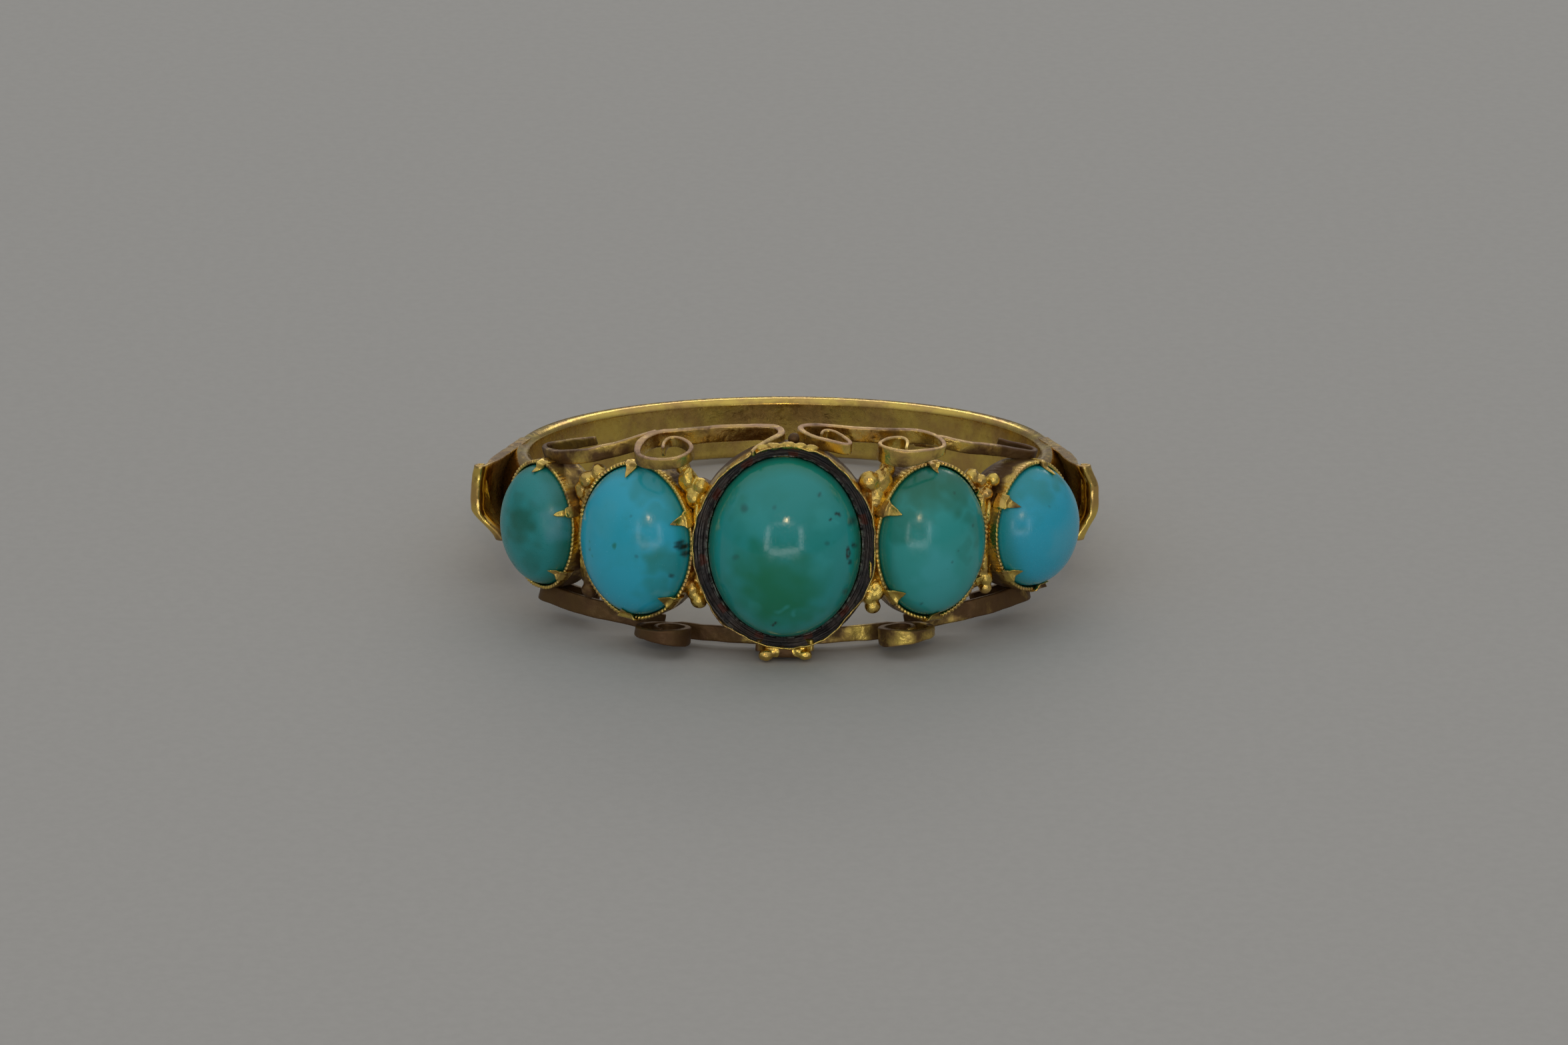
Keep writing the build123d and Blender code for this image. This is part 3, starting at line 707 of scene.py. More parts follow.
def bendPath(start, heading, bends, step=0.035):
    # straights and arcs laid end to end: each bend is (size, turn), a length with turn 0 or else a radius
    point, parts = np.array(start, float), []
    for size, turn in bends:
        if turn == 0:
            s = np.linspace(0, size, max(3, int(size / step)))[:, None]
            part = point + s * [math.cos(math.radians(heading)), math.sin(math.radians(heading))]
        else:
            sign = math.copysign(1, turn)
            s = np.radians(np.linspace(0, turn, max(6, int(abs(math.radians(turn)) * size / step))))
            a = math.radians(heading)
            centre = point + sign * size * np.array([-math.sin(a), math.cos(a)])
            part = centre + sign * size * np.stack([np.sin(a + s), -np.cos(a + s)], -1)
        parts.append(part if not parts else part[1:])
        point, heading = part[-1], heading + turn
    return np.concatenate(parts)


def hingeOf(lay):
    # where a lay's sheet is hinged: straight across from the middle, or on the rail's own arc
    place, radius = lay["place"], rail["radius"]
    if lay["onArc"]:
        return np.array([-radius * math.sin(place / radius), -radius * math.cos(place / radius)])
    return np.array([-place, -radius])


def laySheet(points, lay):
    # tips points about the hinge: down towards the ring's side first, then down towards the stones
    hinge = hingeOf(lay)
    x, y, z = points[..., 0] - hinge[0], points[..., 1] - hinge[1], points[..., 2]
    s, f = math.radians(lay["sideways"]), math.radians(lay["forward"])
    x, z = x * math.cos(s) - z * math.sin(s), x * math.sin(s) + z * math.cos(s)
    y, z = y * math.cos(f) - z * math.sin(f), y * math.sin(f) + z * math.cos(f)
    return np.stack([x + hinge[0], y + hinge[1], z + lay["top"]], -1)


# each lay's height at its hinge, its tips towards the stones and the ring's side, and the hinge's place
lays = {
    "upperLeft": {"top": 3.82, "forward": 17, "sideways": 3.5, "place": 0.36, "onArc": False},
    "upperRight": {"top": 3.74, "forward": 13, "sideways": 3.5, "place": 0.86, "onArc": False},
    "lower": {"top": 3.6, "forward": 2, "sideways": 2.5, "place": 0.36, "onArc": False},
    "upperOuter": {"top": 3.4, "forward": 5.5, "sideways": 15.5, "place": 4.23, "onArc": True},
    "lowerOuter": {"top": 3.38, "forward": 2, "sideways": 11, "place": 4.23, "onArc": True},
}
flips = {"none": (1, 1, 1), "right": (-1, 1, 1), "down": (1, 1, -1), "both": (-1, 1, -1)}
# plan points of the upper strips, drawn for the left side, with their heights and thicknesses along the way
strips = {
    "leftVolute": {"lay": "upperLeft", "flip": "none", "seed": 201,
        "points": [(-1.06, -10.6), (-0.88, -10.27), (-0.52, -9.92), (-0.25, -9.67), (-0.1, -9.41),
                   (-0.25, -9.05), (-0.66, -8.92), (-1.33, -8.86), (-2.24, -8.83), (-3.14, -8.88),
                   (-3.73, -8.91), (-4.18, -8.99), (-4.54, -9.26), (-4.76, -9.7), (-4.82, -10.16),
                   (-4.72, -10.5), (-4.5, -10.68), (-4.2, -10.78), (-3.89, -10.82), (-3.57, -10.78),
                   (-3.28, -10.6), (-3.08, -10.3), (-3.06, -10.03), (-3.18, -9.74), (-3.41, -9.48),
                   (-3.64, -9.36), (-3.84, -9.44), (-3.96, -9.72), (-3.98, -10.02)],
        "height": [(0, 0.22), (0.1, 0.4), (0.18, 0.55), (0.45, 0.6), (0.55, 0.5), (0.68, 0.42), (1, 0.36)],
        "thick": [(0, 0.13), (0.15, 0.26), (0.3, 0.18), (0.48, 0.22), (0.58, 0.28), (0.66, 0.15),
                  (0.85, 0.15), (1, 0.12)]},
    "rightVolute": {"lay": "upperRight", "flip": "right", "seed": 211,
        "points": [(-0.73, -9.4), (-0.55, -9.15), (-0.51, -8.94), (-0.69, -8.76), (-1.05, -8.69),
                   (-1.64, -8.69), (-2.32, -8.74), (-3.0, -8.72), (-3.68, -8.67), (-4.27, -8.66),
                   (-4.63, -8.76), (-4.94, -9.0), (-5.16, -9.35), (-5.22, -9.72), (-5.06, -9.97),
                   (-4.6, -10.19), (-4.11, -10.32), (-3.61, -10.28), (-3.28, -10.11), (-3.11, -9.85),
                   (-3.26, -9.55), (-3.53, -9.32), (-3.81, -9.26), (-3.99, -9.42), (-4.02, -9.73),
                   (-3.98, -10.09)],
        "height": [(0, 0.5), (0.4, 0.55), (0.52, 0.34), (0.6, 0.34), (0.72, 0.6), (0.8, 0.62), (1, 0.4)],
        "thick": [(0, 0.2), (0.3, 0.17), (0.5, 0.17), (0.7, 0.17), (1, 0.12)]},
    "curledTail": {"lay": "upperRight", "flip": "right", "seed": 215,
        "points": [(-0.51, -8.94), (-0.6, -9.2), (-0.82, -9.49), (-1.18, -9.71), (-1.59, -9.87),
                   (-1.9, -10.01), (-2.13, -10.05), (-2.12, -9.81), (-1.93, -9.48), (-1.68, -9.17),
                   (-1.45, -9.02), (-1.27, -9.1), (-1.21, -9.33)],
        "height": [(0, 0.5), (0.3, 0.42), (0.6, 0.4), (1, 0.35)], "thick": [(0, 0.2), (0.5, 0.16),
                   (1, 0.12)]},
    "leftScroll": {"lay": "upperOuter", "flip": "none", "seed": 221,
        "points": [(-4.27, -7.62), (-4.87, -7.7), (-5.28, -7.77), (-5.66, -7.81), (-6.08, -7.76),
                   (-6.54, -7.74), (-6.85, -7.6), (-7.2, -7.37), (-7.55, -7.09), (-7.86, -6.74),
                   (-8.09, -6.31), (-8.13, -6.02), (-8.0, -5.89), (-7.69, -5.97), (-7.31, -6.11),
                   (-6.96, -6.26), (-6.65, -6.43), (-6.38, -6.6)],
        "height": [(0, 0.5), (0.6, 0.48), (1, 0.3)], "thick": [(0, 0.18), (0.6, 0.2), (1, 0.12)]},
    "rightScroll": {"lay": "upperOuter", "flip": "right", "seed": 231,
        "points": [(-4.4, -7.9), (-4.9, -7.68), (-5.28, -7.45), (-5.62, -7.42), (-6.0, -7.36),
                   (-6.46, -7.2), (-6.93, -6.96), (-7.39, -6.74), (-7.85, -6.63), (-8.2, -6.54),
                   (-8.41, -6.4), (-8.48, -6.16), (-8.33, -5.98), (-7.95, -5.94), (-7.56, -6.02),
                   (-7.26, -5.97)],
        "height": [(0, 0.45), (0.6, 0.36), (1, 0.28)], "thick": [(0, 0.2), (0.6, 0.22), (1, 0.12)]},
}
# the lower rail's bends; its volutes stand tall towards the middle of the head and low on their far side
lowerVolute = [(0.94, 180), (0.78, 185), (0.4, 165)]
lowerTail = [(0.3, -132), (1.14, 0)]
outerScroll = [(2.15, 0), (2.2, -34), (0.85, 0), (0.48, -175), (1.3, 0)]
lowerShape = {"height": [(0, 0.4), (0.15, 0.5), (0.42, 0.55), (0.58, 0.3), (0.66, 0.36), (0.78, 0.62),
                         (0.9, 0.45), (1, 0.35)],
              "thick": [(0, 0.16), (0.4, 0.2), (0.6, 0.2), (0.7, 0.26), (1, 0.14)],
              "rise": [(0, -0.05), (0.45, 0.0), (0.58, -0.22), (0.66, -0.2), (0.78, 0.0), (1, -0.15)]}


def threadPath(points, step=0.03):
    # a Catmull-Rom curve through the points, spaced evenly along its length and smoothed over a few steps
    p = np.array(points, float)
    p = np.concatenate([[2 * p[0] - p[1]], p, [2 * p[-1] - p[-2]]])
    t = np.linspace(0, 1, 24, endpoint=False)[:, None]
    a, b, c, d = p[:-3, None], p[1:-2, None], p[2:-1, None], p[3:, None]
    square, cube = 2 * a - 5 * b + 4 * c - d, 3 * b - a - 3 * c + d
    curve = 0.5 * (2 * b + (c - a) * t + square * t ** 2 + cube * t ** 3)
    curve = np.concatenate([curve.reshape(-1, 2), p[-2:-1]])
    length = np.concatenate([[0], np.cumsum(np.linalg.norm(np.diff(curve, axis=0), axis=1))])
    even = np.linspace(0, length[-1], max(8, int(length[-1] / step)))
    path = np.stack([np.interp(even, length, curve[:, k]) for k in (0, 1)], -1)
    for _ in range(12):
        path[1:-1] = (path[:-2] + 2 * path[1:-1] + path[2:]) / 4
    return path


def railStrip(plan, layName, flip, seed, shape):
    # a strip along a plan path in its lay, turned over to its own side
    path = np.concatenate([plan, np.zeros((len(plan), 1))], 1)
    s = np.linspace(0, 1, len(path))

    def along(key, plain):
        # a size that changes along the strip, or the plain one
        return np.interp(s, *zip(*shape[key])) if key in shape else plain

    path[:, 2] = along("rise", 0.0)
    thick = along("thick", rail["thick"]) * (1 + 0.12 * softNoise(path, 0.8, seed + 3))
    rings = stripRings(path, thick, along("height", rail["height"]), rail, seed)
    return tubeShell(laySheet(rings, lays[layName]) * np.array(flips[flip]))


def lowerPlan():
    # from the lower rail's tail round the U-turn and along the rail's arc into the volute
    begin = hingeOf(lays["lower"])
    alongArc = (rail["radius"], -math.degrees(rail["lowerRun"] / rail["radius"]))
    run = bendPath(begin, 180, [alongArc] + lowerVolute)
    return np.concatenate([bendPath(begin, 0, lowerTail)[::-1], run[1:]])


upperShells = [railStrip(threadPath(strip["points"]), strip["lay"], strip["flip"], strip["seed"], strip)
               for strip in strips.values()]
outerPlan = bendPath(hingeOf(lays["lowerOuter"]), rail["outerHeading"], outerScroll)
lowerShells = [railStrip(lowerPlan(), "lower", "down", 241, lowerShape),
               railStrip(lowerPlan(), "lower", "both", 251, lowerShape),
               railStrip(outerPlan, "lowerOuter", "down", 261, {}),
               railStrip(outerPlan, "lowerOuter", "both", 271, {})]


def edgeMask(shells):
    # the strip's profile has the same order all along, so the outer edge's points are known by their column
    shares, corners = stripProfile(rail["perSide"])
    outer = (shares[:, 1] > 0.999) & (corners[:, 1] > 0.3)
    parts = []
    for shellPoints, _, _ in shells:
        rows = (len(shellPoints) - 2) // len(outer)
        parts.append(np.concatenate([np.tile(outer, rows), [False, False]]).astype(float))
    value = np.concatenate(parts)
    return lambda points: value * (0.65 + 0.5 * softNoise(points, 0.7, 17))


def railGrimeAndShadow(points):
    # darker deeper in towards the seats, with dirt in patches, and painted shadow on the lower strips, most
    # of all under the head's left side
    # painted shadow: the lower strips are darkened as if shaded, more on the head's left side
    under = softStep(-points[:, 2], 1.5, 2.5) * (0.25 + 0.5 * softStep(-points[:, 0], 1.0, 3.0))
    deep = 1 - softStep(np.abs(points[:, 2]), 2.5, 3.2)
    return under + 0.18 + 0.3 * softNoise(points, 0.7, 5) + 0.35 * deep


for railName, shells in (("upper_rail", upperShells), ("lower_rail", lowerShells)):
    addPiece(railName, shells, railGold, goldMasks(railGrimeAndShadow, edgeMask(shells)))
print("rails made")

# shank: a D section round the finger, thin under the head; the lips are its shoulders' loose front skin
shank = {"crown": 1.0, "side": 0.42, "half": 1.1, "widen": 0.2, "shoulderFront": 3.3, "underHead": 0.45,
         "capFade": (63, 71), "edgeRound": 0.07, "steps": 540, "outside": 27, "inside": 17}
lip = {"root": 99.5, "length": 4.9, "thick": 0.4, "half": 1.28, "rootHalf": 1.08, "crown": 0.58,
       "tipCrown": 0.08, "rollThick": 0.13, "rollStart": 0.2, "rollEnd": 0.12, "corner": 0.04, "rough": 0.02,
       "perSide": 30, "runSteps": 60, "rollSteps": 46,
       "left": {"sign": -1, "roll": 300, "pull": (0.05, 0.75), "seed": 331},
       "right": {"sign": 1, "roll": 290, "pull": (0.2, 0.4), "seed": 337}}
hoopBack = ring["finger"] + shank["crown"]


def flankHalf(half, y):
    # half the band's width, which grows evenly from the hoop's back to the shoulders' front
    return half + shank["widen"] * np.clip((hoopBack - y) / (hoopBack + shank["shoulderFront"]), 0, 1)


def makeShank():
    # section points (height along the finger, distance out) carried round: the outside falls with the square
    # of the height, and is cut down to a cap under the head
    turn = fullTurn(shank["steps"])     # 0 at the back
    half = flankHalf(shank["half"], hoopBack * np.cos(turn))
    count, inside = shank["outside"], shank["inside"]
    v = np.concatenate([np.linspace(-1, 1, count), np.linspace(1, -1, inside + 2)[1:-1]])
    isOut = np.concatenate([np.ones(count), np.zeros(inside)])
    fromHead = np.abs(180 - np.degrees(turn))
    underHead = ring["finger"] + shank["underHead"]
    cap = underHead + (shank["crown"] - shank["underHead"]) * softStep(fromHead, *shank["capFade"])
    crown = hoopBack - (shank["crown"] - shank["side"]) * v ** 2
    outer = np.minimum(crown[None], cap[:, None]) - shank["edgeRound"] * np.abs(v) ** 14
    inner = ring["finger"] + 0.02 + 0.05 * np.abs(v) ** 16
    radius = np.where(isOut > 0, outer, inner[None])
    height = half[:, None] * v * np.where(isOut > 0, 1 - 0.012 * (np.abs(v) > 0.999), 0.985)
    points = np.stack([radius * np.sin(turn)[:, None], radius * np.cos(turn)[:, None], height], -1)
    dent = 0.01 * castNoise(points, 1.6, 301) + 0.004 * castNoise(points, 0.4, 305)
    points[..., :2] *= (1 - np.abs(dent) / 9)[..., None]
    return loopShell(points)


def lipShell(side):
    # the domed skin leaves the hoop at a tangent, flattens, thins and rolls its front edge back outwards
    heading = math.radians(lip["root"] - 180)
    forwards = np.array([math.cos(heading), math.sin(heading)])
    outwards = np.array([-forwards[1], forwards[0]])
    root = outwards * (hoopBack - lip["thick"] / 2)
    run = np.linspace(0, lip["length"], lip["runSteps"])
    turn = np.radians(np.linspace(0, side["roll"], lip["rollSteps"]))[1:]
    radius = np.linspace(lip["rollStart"], lip["rollEnd"], lip["rollSteps"])[1:, None]
    centre = root + lip["length"] * forwards + lip["rollStart"] * outwards
    rolled = centre + radius * (np.sin(turn)[:, None] * forwards - np.cos(turn)[:, None] * outwards)
    path = np.concatenate([root + run[:, None] * forwards, rolled])
    half = flankHalf(lip["rootHalf"], path[:, 1])
    path = np.concatenate([path, half[:, None]], 1)
    reach = np.concatenate([run / lip["length"], np.ones(len(rolled))])
    thick = lip["thick"] + (lip["rollThick"] - lip["thick"]) * softStep(reach, 0.72, 1.0)
    rings = stripRings(path, thick, 2 * half, lip, side["seed"])
    t = np.clip((rings[..., :2] @ forwards - root @ forwards) / lip["length"], 0, 1)
    v = rings[..., 2] / lip["half"]
    crown = lip["crown"] + (lip["tipCrown"] - lip["crown"]) * t
    pull = side["pull"][0] * softStep(v, 0.4, 1.0) + side["pull"][1] * softStep(-v, 0.15, 1.0)
    rings[..., :2] -= outwards * (crown * v ** 2 + pull * softStep(t, 0.45, 1.0))[..., None]
    return tubeShell(rings * np.array([side["sign"], 1, 1]))


def bandGrime(points):
    # a little dirt all over, and more on the band's inside
    inside = 1 - softStep(radiusOf(points), 8.7, 8.85)
    return 0.12 + 0.3 * inside + 0.15 * softNoise(points, 1.5, 7)


def lipGrimeAndShade(points):
    # a little dirt all over, and painted shade on the lips' inner sides, where they near the head
    return 0.22 + 0.55 * (1 - softStep(np.abs(points[:, 0]), 9.5, 10.1)) * softStep(-points[:, 1], -1.0, 2.0)


addPiece("shank_hoop", [makeShank()], bandGold, goldMasks(bandGrime))
addPiece("shoulder_lips", [lipShell(lip[side]) for side in ("left", "right")], bandGold,
         goldMasks(lipGrimeAndShade, lambda points: 0.5 * softStep(np.abs(points[:, 2]), 1.15, 1.25)))
print("shank made")

# granules between the collets: place on the seats' arc, height along the finger, radius, how far out
granules = [(-2.64, 1.96, 0.27, 0.45), (-2.47, 1.5, 0.2, 0.45), (-2.7, -1.87, 0.28, 0.47),
            (2.67, 2.1, 0.36, 0.42), (2.61, -1.4, 0.2, 0.45), (2.67, -1.72, 0.27, 0.45),
            (2.78, -2.08, 0.26, 0.45), (-6.6, 1.78, 0.3, 0.43), (-6.6, -1.95, 0.27, 0.38),
            (6.47, 1.8, 0.22, 0.43), (6.94, 1.76, 0.24, 0.43), (6.7, 1.34, 0.24, 0.42),
            (6.67, -1.52, 0.26, 0.43), (6.67, -1.85, 0.22, 0.43)]
# webs, the blocks of solder between two collets: place, half length along the finger, half width
webs = [(-6.65, 1.85, 0.62), (-2.62, 2.0, 0.62), (2.62, 2.0, 0.62), (6.6, 1.9, 0.55)]
# runs of solder against the collets' shoulders: place, height, half width, half length, how far out
runs = [(-3.05, 2.12, 0.34, 0.42, 0.42), (-2.85, 1.6, 0.3, 0.4, 0.46), (-3.3, 2.5, 0.24, 0.3, 0.2),
        (3.08, 2.1, 0.34, 0.42, 0.4), (2.86, 1.55, 0.3, 0.42, 0.46), (3.3, 2.45, 0.26, 0.34, 0.2),
        (-2.9, -1.55, 0.28, 0.36, 0.42), (2.88, -1.5, 0.28, 0.36, 0.46), (-6.85, 1.4, 0.24, 0.4, 0.4),
        (-6.3, 2.0, 0.3, 0.3, 0.25), (6.5, 1.0, 0.22, 0.5, 0.42), (6.8, 0.7, 0.2, 0.5, 0.4),
        (6.25, 1.9, 0.3, 0.3, 0.25), (6.6, -1.0, 0.2, 0.5, 0.42), (-6.6, -1.4, 0.24, 0.5, 0.34),
        (-2.72, 0.9, 0.14, 0.5, 0.6), (2.7, 0.9, 0.14, 0.5, 0.6), (2.66, -0.8, 0.13, 0.5, 0.62)]


solder = {"out": 9.53, "depth": 0.76, "square": 0.55, "waist": 0.45, "flare": 0.75, "near": 1.3,
          "runDepth": 0.3, "neck": (1.05, 1.2, 1.1), "sink": 0.25, "voxel": 0.033}


def ballShell(centre, radii, seed, rough):
    # an ellipsoid by two angles, its radius changed by noise
    unit = sphereRings(40, 64)
    grow = 1 + rough * castNoise(unit + seed, 0.9, seed)
    return tubeShell(np.array(centre) + unit * radii * grow[..., None])


def webShell(place, half, wide, seed):
    # a rounded block, narrow at its waist and wide where the ovals part, its crest cast rough
    unit = sphereRings(110, 110)[..., [0, 2, 1]]
    fuller = np.sign(unit) * np.abs(unit) ** solder["square"]
    local = fuller * [wide, half, solder["depth"]] + [0, 0, solder["out"] + headLift(place)]
    local[..., 0] *= solder["waist"] + solder["flare"] * fuller[..., 1] ** 2
    rough = 0.1 * castNoise(local, 0.42, seed) + 0.05 * softNoise(local, 0.13, seed + 3)
    return tubeShell(around(place, local + rough[..., None] * unit))


def meltTogether(shells, voxel):
    # joins overlapping lumps into one skin on a fine voxel grid, in mm, and relaxes it a little
    points, faces = joinShells(shells)
    mesh = bpy.data.meshes.new("lumps")
    mesh.from_pydata(points.tolist(), [], faces)
    lump = bpy.data.objects.new("lumps", mesh)
    bpy.context.scene.collection.objects.link(lump)
    remesh = lump.modifiers.new("melt", "REMESH")
    remesh.mode = "VOXEL"
    remesh.voxel_size = voxel
    relax = lump.modifiers.new("relax", "SMOOTH")
    relax.factor = 0.5
    relax.iterations = 6
    bpy.context.view_layer.update()
    melted = lump.evaluated_get(bpy.context.evaluated_depsgraph_get()).to_mesh()
    co = np.empty(len(melted.vertices) * 3)
    melted.vertices.foreach_get("co", co)
    faces = [tuple(face.vertices) for face in melted.polygons]
    quads = np.array([face for face in faces if len(face) == 4], int).reshape(-1, 4)
    triangles = np.array([face for face in faces if len(face) == 3], int).reshape(-1, 3)
    lump.to_mesh_clear()
    bpy.data.objects.remove(lump)
    return faceOut(co.reshape(-1, 3), quads, triangles)


def solderGrimeAndShade(points):
    # darker deeper towards the finger, with painted shade on the far left's lower half
    depth = 1 - softStep(radiusOf(points), 9.7, 10.2)
    # painted shade: the lower half on the far left is darkened as if shaded
    lower = softStep(-points[:, 2], 0.5, 1.6) * softStep(np.abs(points[:, 0]), 4.5, 6.0) * (points[:, 0] < 0)
    return 0.1 + 0.75 * depth + 0.5 * lower


def solderPoint(place, height, out):
    # a point at a place on the seats' arc, at a height along the finger, and so far out from the seats
    return around(place, np.array([0.0, height, ring["seat"] + out]))


for index, (place, half, wide) in enumerate(webs):
    balls = [ball for ball in granules if abs(ball[0] - place) < solder["near"]]
    drops = [run for run in runs if abs(run[0] - place) < solder["near"]]
    lumps = [webShell(place, half, wide, 401 + index)]
    for k, (spot, height, radius, out) in enumerate(balls):
        centre = solderPoint(spot, height, out + headLift(spot))
        lumps.append(ballShell(centre, radius, 431 + 3 * k + index, 0.1))
    for k, (spot, height, across, along, out) in enumerate(drops):
        centre = solderPoint(spot, height, out + headLift(spot))
        radii = np.array([across, solder["runDepth"], along])
        lumps.append(ballShell(centre, radii, 481 + 5 * k + index, 0.28))
    for k, (spot, height, radius, out) in enumerate(balls):      # a neck of solder under each granule
        nearer = spot * 0.75 + place * 0.25
        centre = solderPoint(nearer, height * 0.86, out - solder["sink"] + headLift(place))
        lumps.append(ballShell(centre, radius * np.array(solder["neck"]), 461 + k, 0.15))
    shell = meltTogether(lumps, solder["voxel"])
    addPiece("solder_%d" % index, [shell], solderGold, goldMasks(solderGrimeAndShade))
print("solder made")

# the dark granule over the wide collet, on a post, and its ledge's lumps: across, out, along the finger
crown = {"ball": 0.2, "across": 0.3, "along": 3.52, "out": 9.72, "lump": (0.26, 0.16, 0.13), "voxel": 0.03,
         "postLow": (-0.4, -9.95, 2.3), "postHigh": (0.42, -9.3, 3.4), "postCorner": 0.08}
ledge = [(-0.75, 10.2, 3.3), (-0.35, 10.22, 3.38), (0.1, 10.22, 3.4), (0.5, 10.22, 3.37),
         (0.85, 10.15, 3.28)]
# the foot below it, and its beads: across, radius, how far up and how far back from its lower front edge
foot = {"front": -10.46, "bottom": -3.86, "left": -0.66, "right": 0.7, "top": -3.3, "inset": 0.14,
        "back": 0.5, "corner": 0.1, "beadInset": 0.22, "beadShape": (1.1, 0.9, 0.9), "rubbed": 4,
        "voxel": 0.03}
beads = [(-0.62, 0.23, 0.02, 0.0), (-0.36, 0.16, 0.12, 0.02), (0.66, 0.21, 0.02, 0.0),
         (0.42, 0.15, 0.15, 0.04), (0.1, 0.13, 0.06, 0.1)]


def boxShell(low, high, corner, rough, seed):
    # a rounded block: a sphere's directions pushed towards a cube's, then sized
    unit = sphereRings(60, 80)
    cube = unit / np.abs(unit).max(-1, keepdims=True)
    low, high = np.array(low, float), np.array(high, float)
    points = (low + high) / 2 + cube * ((high - low) / 2 - corner) + unit * corner
    return tubeShell(points + rough * castNoise(points, 0.3, seed)[..., None] * unit)


crownAt = np.array([crown["across"], -crown["out"], crown["along"]])


def crownGrime(points):
    # the granule is dark, and its ledge less so
    far = np.linalg.norm(points - crownAt, axis=1)
    return 0.3 + 0.95 * (1 - softStep(far, 0.2, 0.34))


postShells = [boxShell(crown["postLow"], crown["postHigh"], crown["postCorner"], 0.04, 503)]
for k, (x, out, z) in enumerate(ledge):
    postShells.append(ballShell((x, -out, z), np.array(crown["lump"]), 507 + k, 0.25))
crownShells = [ballShell(crownAt, crown["ball"], 501, 0.12), meltTogether(postShells, crown["voxel"])]
addPiece("crown_granule", crownShells, solderGold, goldMasks(crownGrime))

front, bottom = foot["front"], foot["bottom"]
plateLow = (foot["left"], front + foot["inset"], bottom + foot["inset"])
plateHigh = (foot["right"], front + foot["back"], foot["top"])
footShells = [boxShell(plateLow, plateHigh, foot["corner"], 0.06, 511)]
beadAt = []
for x, radius, up, back in beads:
    beadAt.append(np.array([x, front + foot["beadInset"] + back, bottom + foot["beadInset"] + up]))
    footShells.append(ballShell(beadAt[-1], radius * np.array(foot["beadShape"]), 521 + int(x * 10), 0.2))


def footGrime(points):
    # the outer beads are rubbed bright, and the plate behind and between them is dark
    rubbed = zip(beads[:foot["rubbed"]], beadAt)
    far = np.min([np.linalg.norm(points - centre, axis=1) - bead[1] for bead, centre in rubbed], axis=0)
    return 0.15 + 0.9 * softStep(far, 0.02, 0.1)


addPiece("collet_foot", [meltTogether(footShells, foot["voxel"])], colletGold, goldMasks(footGrime))
print("foot made")

# floor, light and camera
floor = {"size": 1.6, "behind": 0.3, "colour": (0.47, 0.465, 0.455), "shade": 0.96, "rough": 0.85,
         "weave": 2600, "weaveDepth": 0.00004}
bpy.ops.mesh.primitive_plane_add(size=floor["size"], location=(0, floor["behind"], 0))
floorObject = bpy.context.object
floorObject.name = "floor"
floorMaterial, tree, shader = newMaterial("paleFloor")
weave = tree.noise(tree.place(), floor["weave"], 4.0, 0.6)
shaded = tuple(c * floor["shade"] for c in floor["colour"])
tree.join(tree.mix(tree.ramp(weave, 0.3, 0.7), floor["colour"], shaded), shader.inputs["Base Color"])
shader.inputs["Roughness"].default_value = floor["rough"]
tree.join(tree.bump(weave, 0.15, floor["weaveDepth"]), shader.inputs["Normal"])
floorObject.data.materials.append(floorMaterial)

headFront = Vector(toRow(np.array([0.0, -10.9, 0.0])))
# right moves the camera to the right, and down moves the picture down, both in the photo's pixels
camera = {"elevation": 20.6, "distance": 0.25, "lens": 176.0, "sensor": 36.0, "near": 0.01, "far": 10.0,
          "pixelsPerMm": 46.0, "right": -1, "down": 44}


def direction(azimuth, elevation):
    # a unit vector from the ring towards a light or camera: azimuth 0 is the front, positive to the right
    a, e = math.radians(azimuth), math.radians(elevation)
    return Vector((math.sin(a) * math.cos(e), -math.cos(a) * math.cos(e), math.sin(e)))


def addLight(name, azimuth, elevation, distance, size, power, colour):
    # a rectangle of light that looks at the head's front
    data = bpy.data.lights.new(name, "AREA")
    data.shape = "RECTANGLE"
    data.size, data.size_y = size
    data.energy = power
    data.color = colour
    lamp = bpy.data.objects.new(name, data)
    bpy.context.scene.collection.objects.link(lamp)
    towards = direction(azimuth, elevation)
    lamp.location = headFront + towards * distance
    lamp.rotation_euler = towards.to_track_quat("Z", "Y").to_euler()


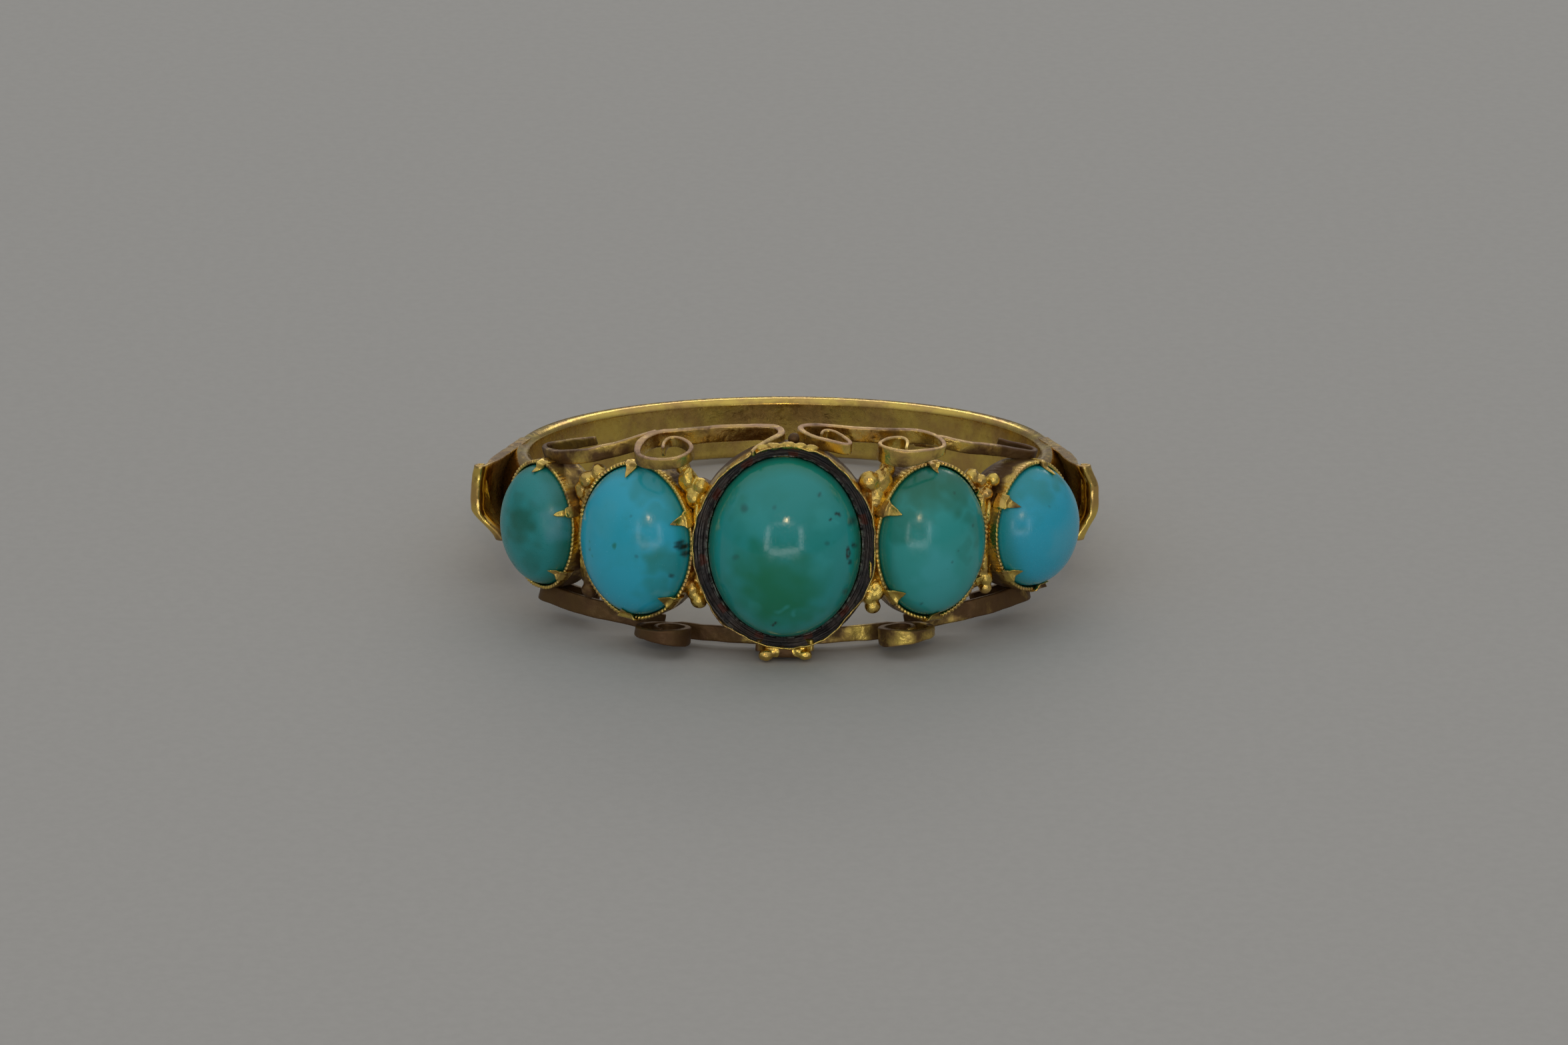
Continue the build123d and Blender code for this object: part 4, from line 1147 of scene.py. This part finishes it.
# azimuth, elevation, distance, size across and up (m), power (W), colour
lights = {
    "windowLeft": (-21, 13, 0.22, (0.022, 0.082), 0.012, (1.0, 1.0, 1.0)),
    "windowRight": (21, 13, 0.22, (0.022, 0.082), 0.012, (1.0, 1.0, 1.0)),
    "windowLow": (0, 1.8, 0.21, (0.13, 0.022), 0.02, (1.0, 1.0, 1.0)),
    "windowHigh": (0, 27, 0.22, (0.10, 0.012), 0.004, (1.0, 1.0, 1.0)),
    "lamp": (1.5, 30.5, 0.3, (0.012, 0.012), 0.04, (1.0, 0.72, 0.38)),
    "back": (175, 24, 0.35, (0.3, 0.07), 0.12, (1.0, 0.95, 0.85)),
}
for name, row in lights.items():
    addLight(name, *row)

# the sky is paler overhead than round the horizon
sky = {"horizon": (0.17, 0.17, 0.175), "overhead": (0.8, 0.8, 0.79), "strength": 0.75}
world = bpy.data.worlds.new("studio")
world.use_nodes = True
tree = Tree(world)
heights = tree.nodes.new("ShaderNodeSeparateXYZ")
tree.join(tree.nodes.new("ShaderNodeTexCoord").outputs["Generated"], heights.inputs[0])
skyColour = tree.mix(tree.ramp(heights.outputs["Z"], -0.1, 1.0), sky["horizon"], sky["overhead"])
background = tree.nodes["Background"]
tree.join(skyColour, background.inputs["Color"])
background.inputs["Strength"].default_value = sky["strength"]
bpy.context.scene.world = world
bpy.context.scene.view_settings.view_transform = "Standard"

lens = bpy.data.cameras.new("camera")
lens.lens = camera["lens"]
lens.sensor_width = camera["sensor"]
lens.clip_start = camera["near"]
lens.clip_end = camera["far"]
eye = bpy.data.objects.new("camera", lens)
bpy.context.scene.collection.objects.link(eye)
sight = direction(0, camera["elevation"])
eye.rotation_euler = sight.to_track_quat("Z", "Y").to_euler()
tip = math.radians(camera["elevation"])
upwards = Vector((0, math.sin(tip), math.cos(tip)))
pixel = 0.001 / camera["pixelsPerMm"]
shift = upwards * camera["down"] * pixel + Vector((1, 0, 0)) * camera["right"] * pixel
eye.location = headFront + sight * camera["distance"] + shift
bpy.context.scene.camera = eye
print("scene lit")
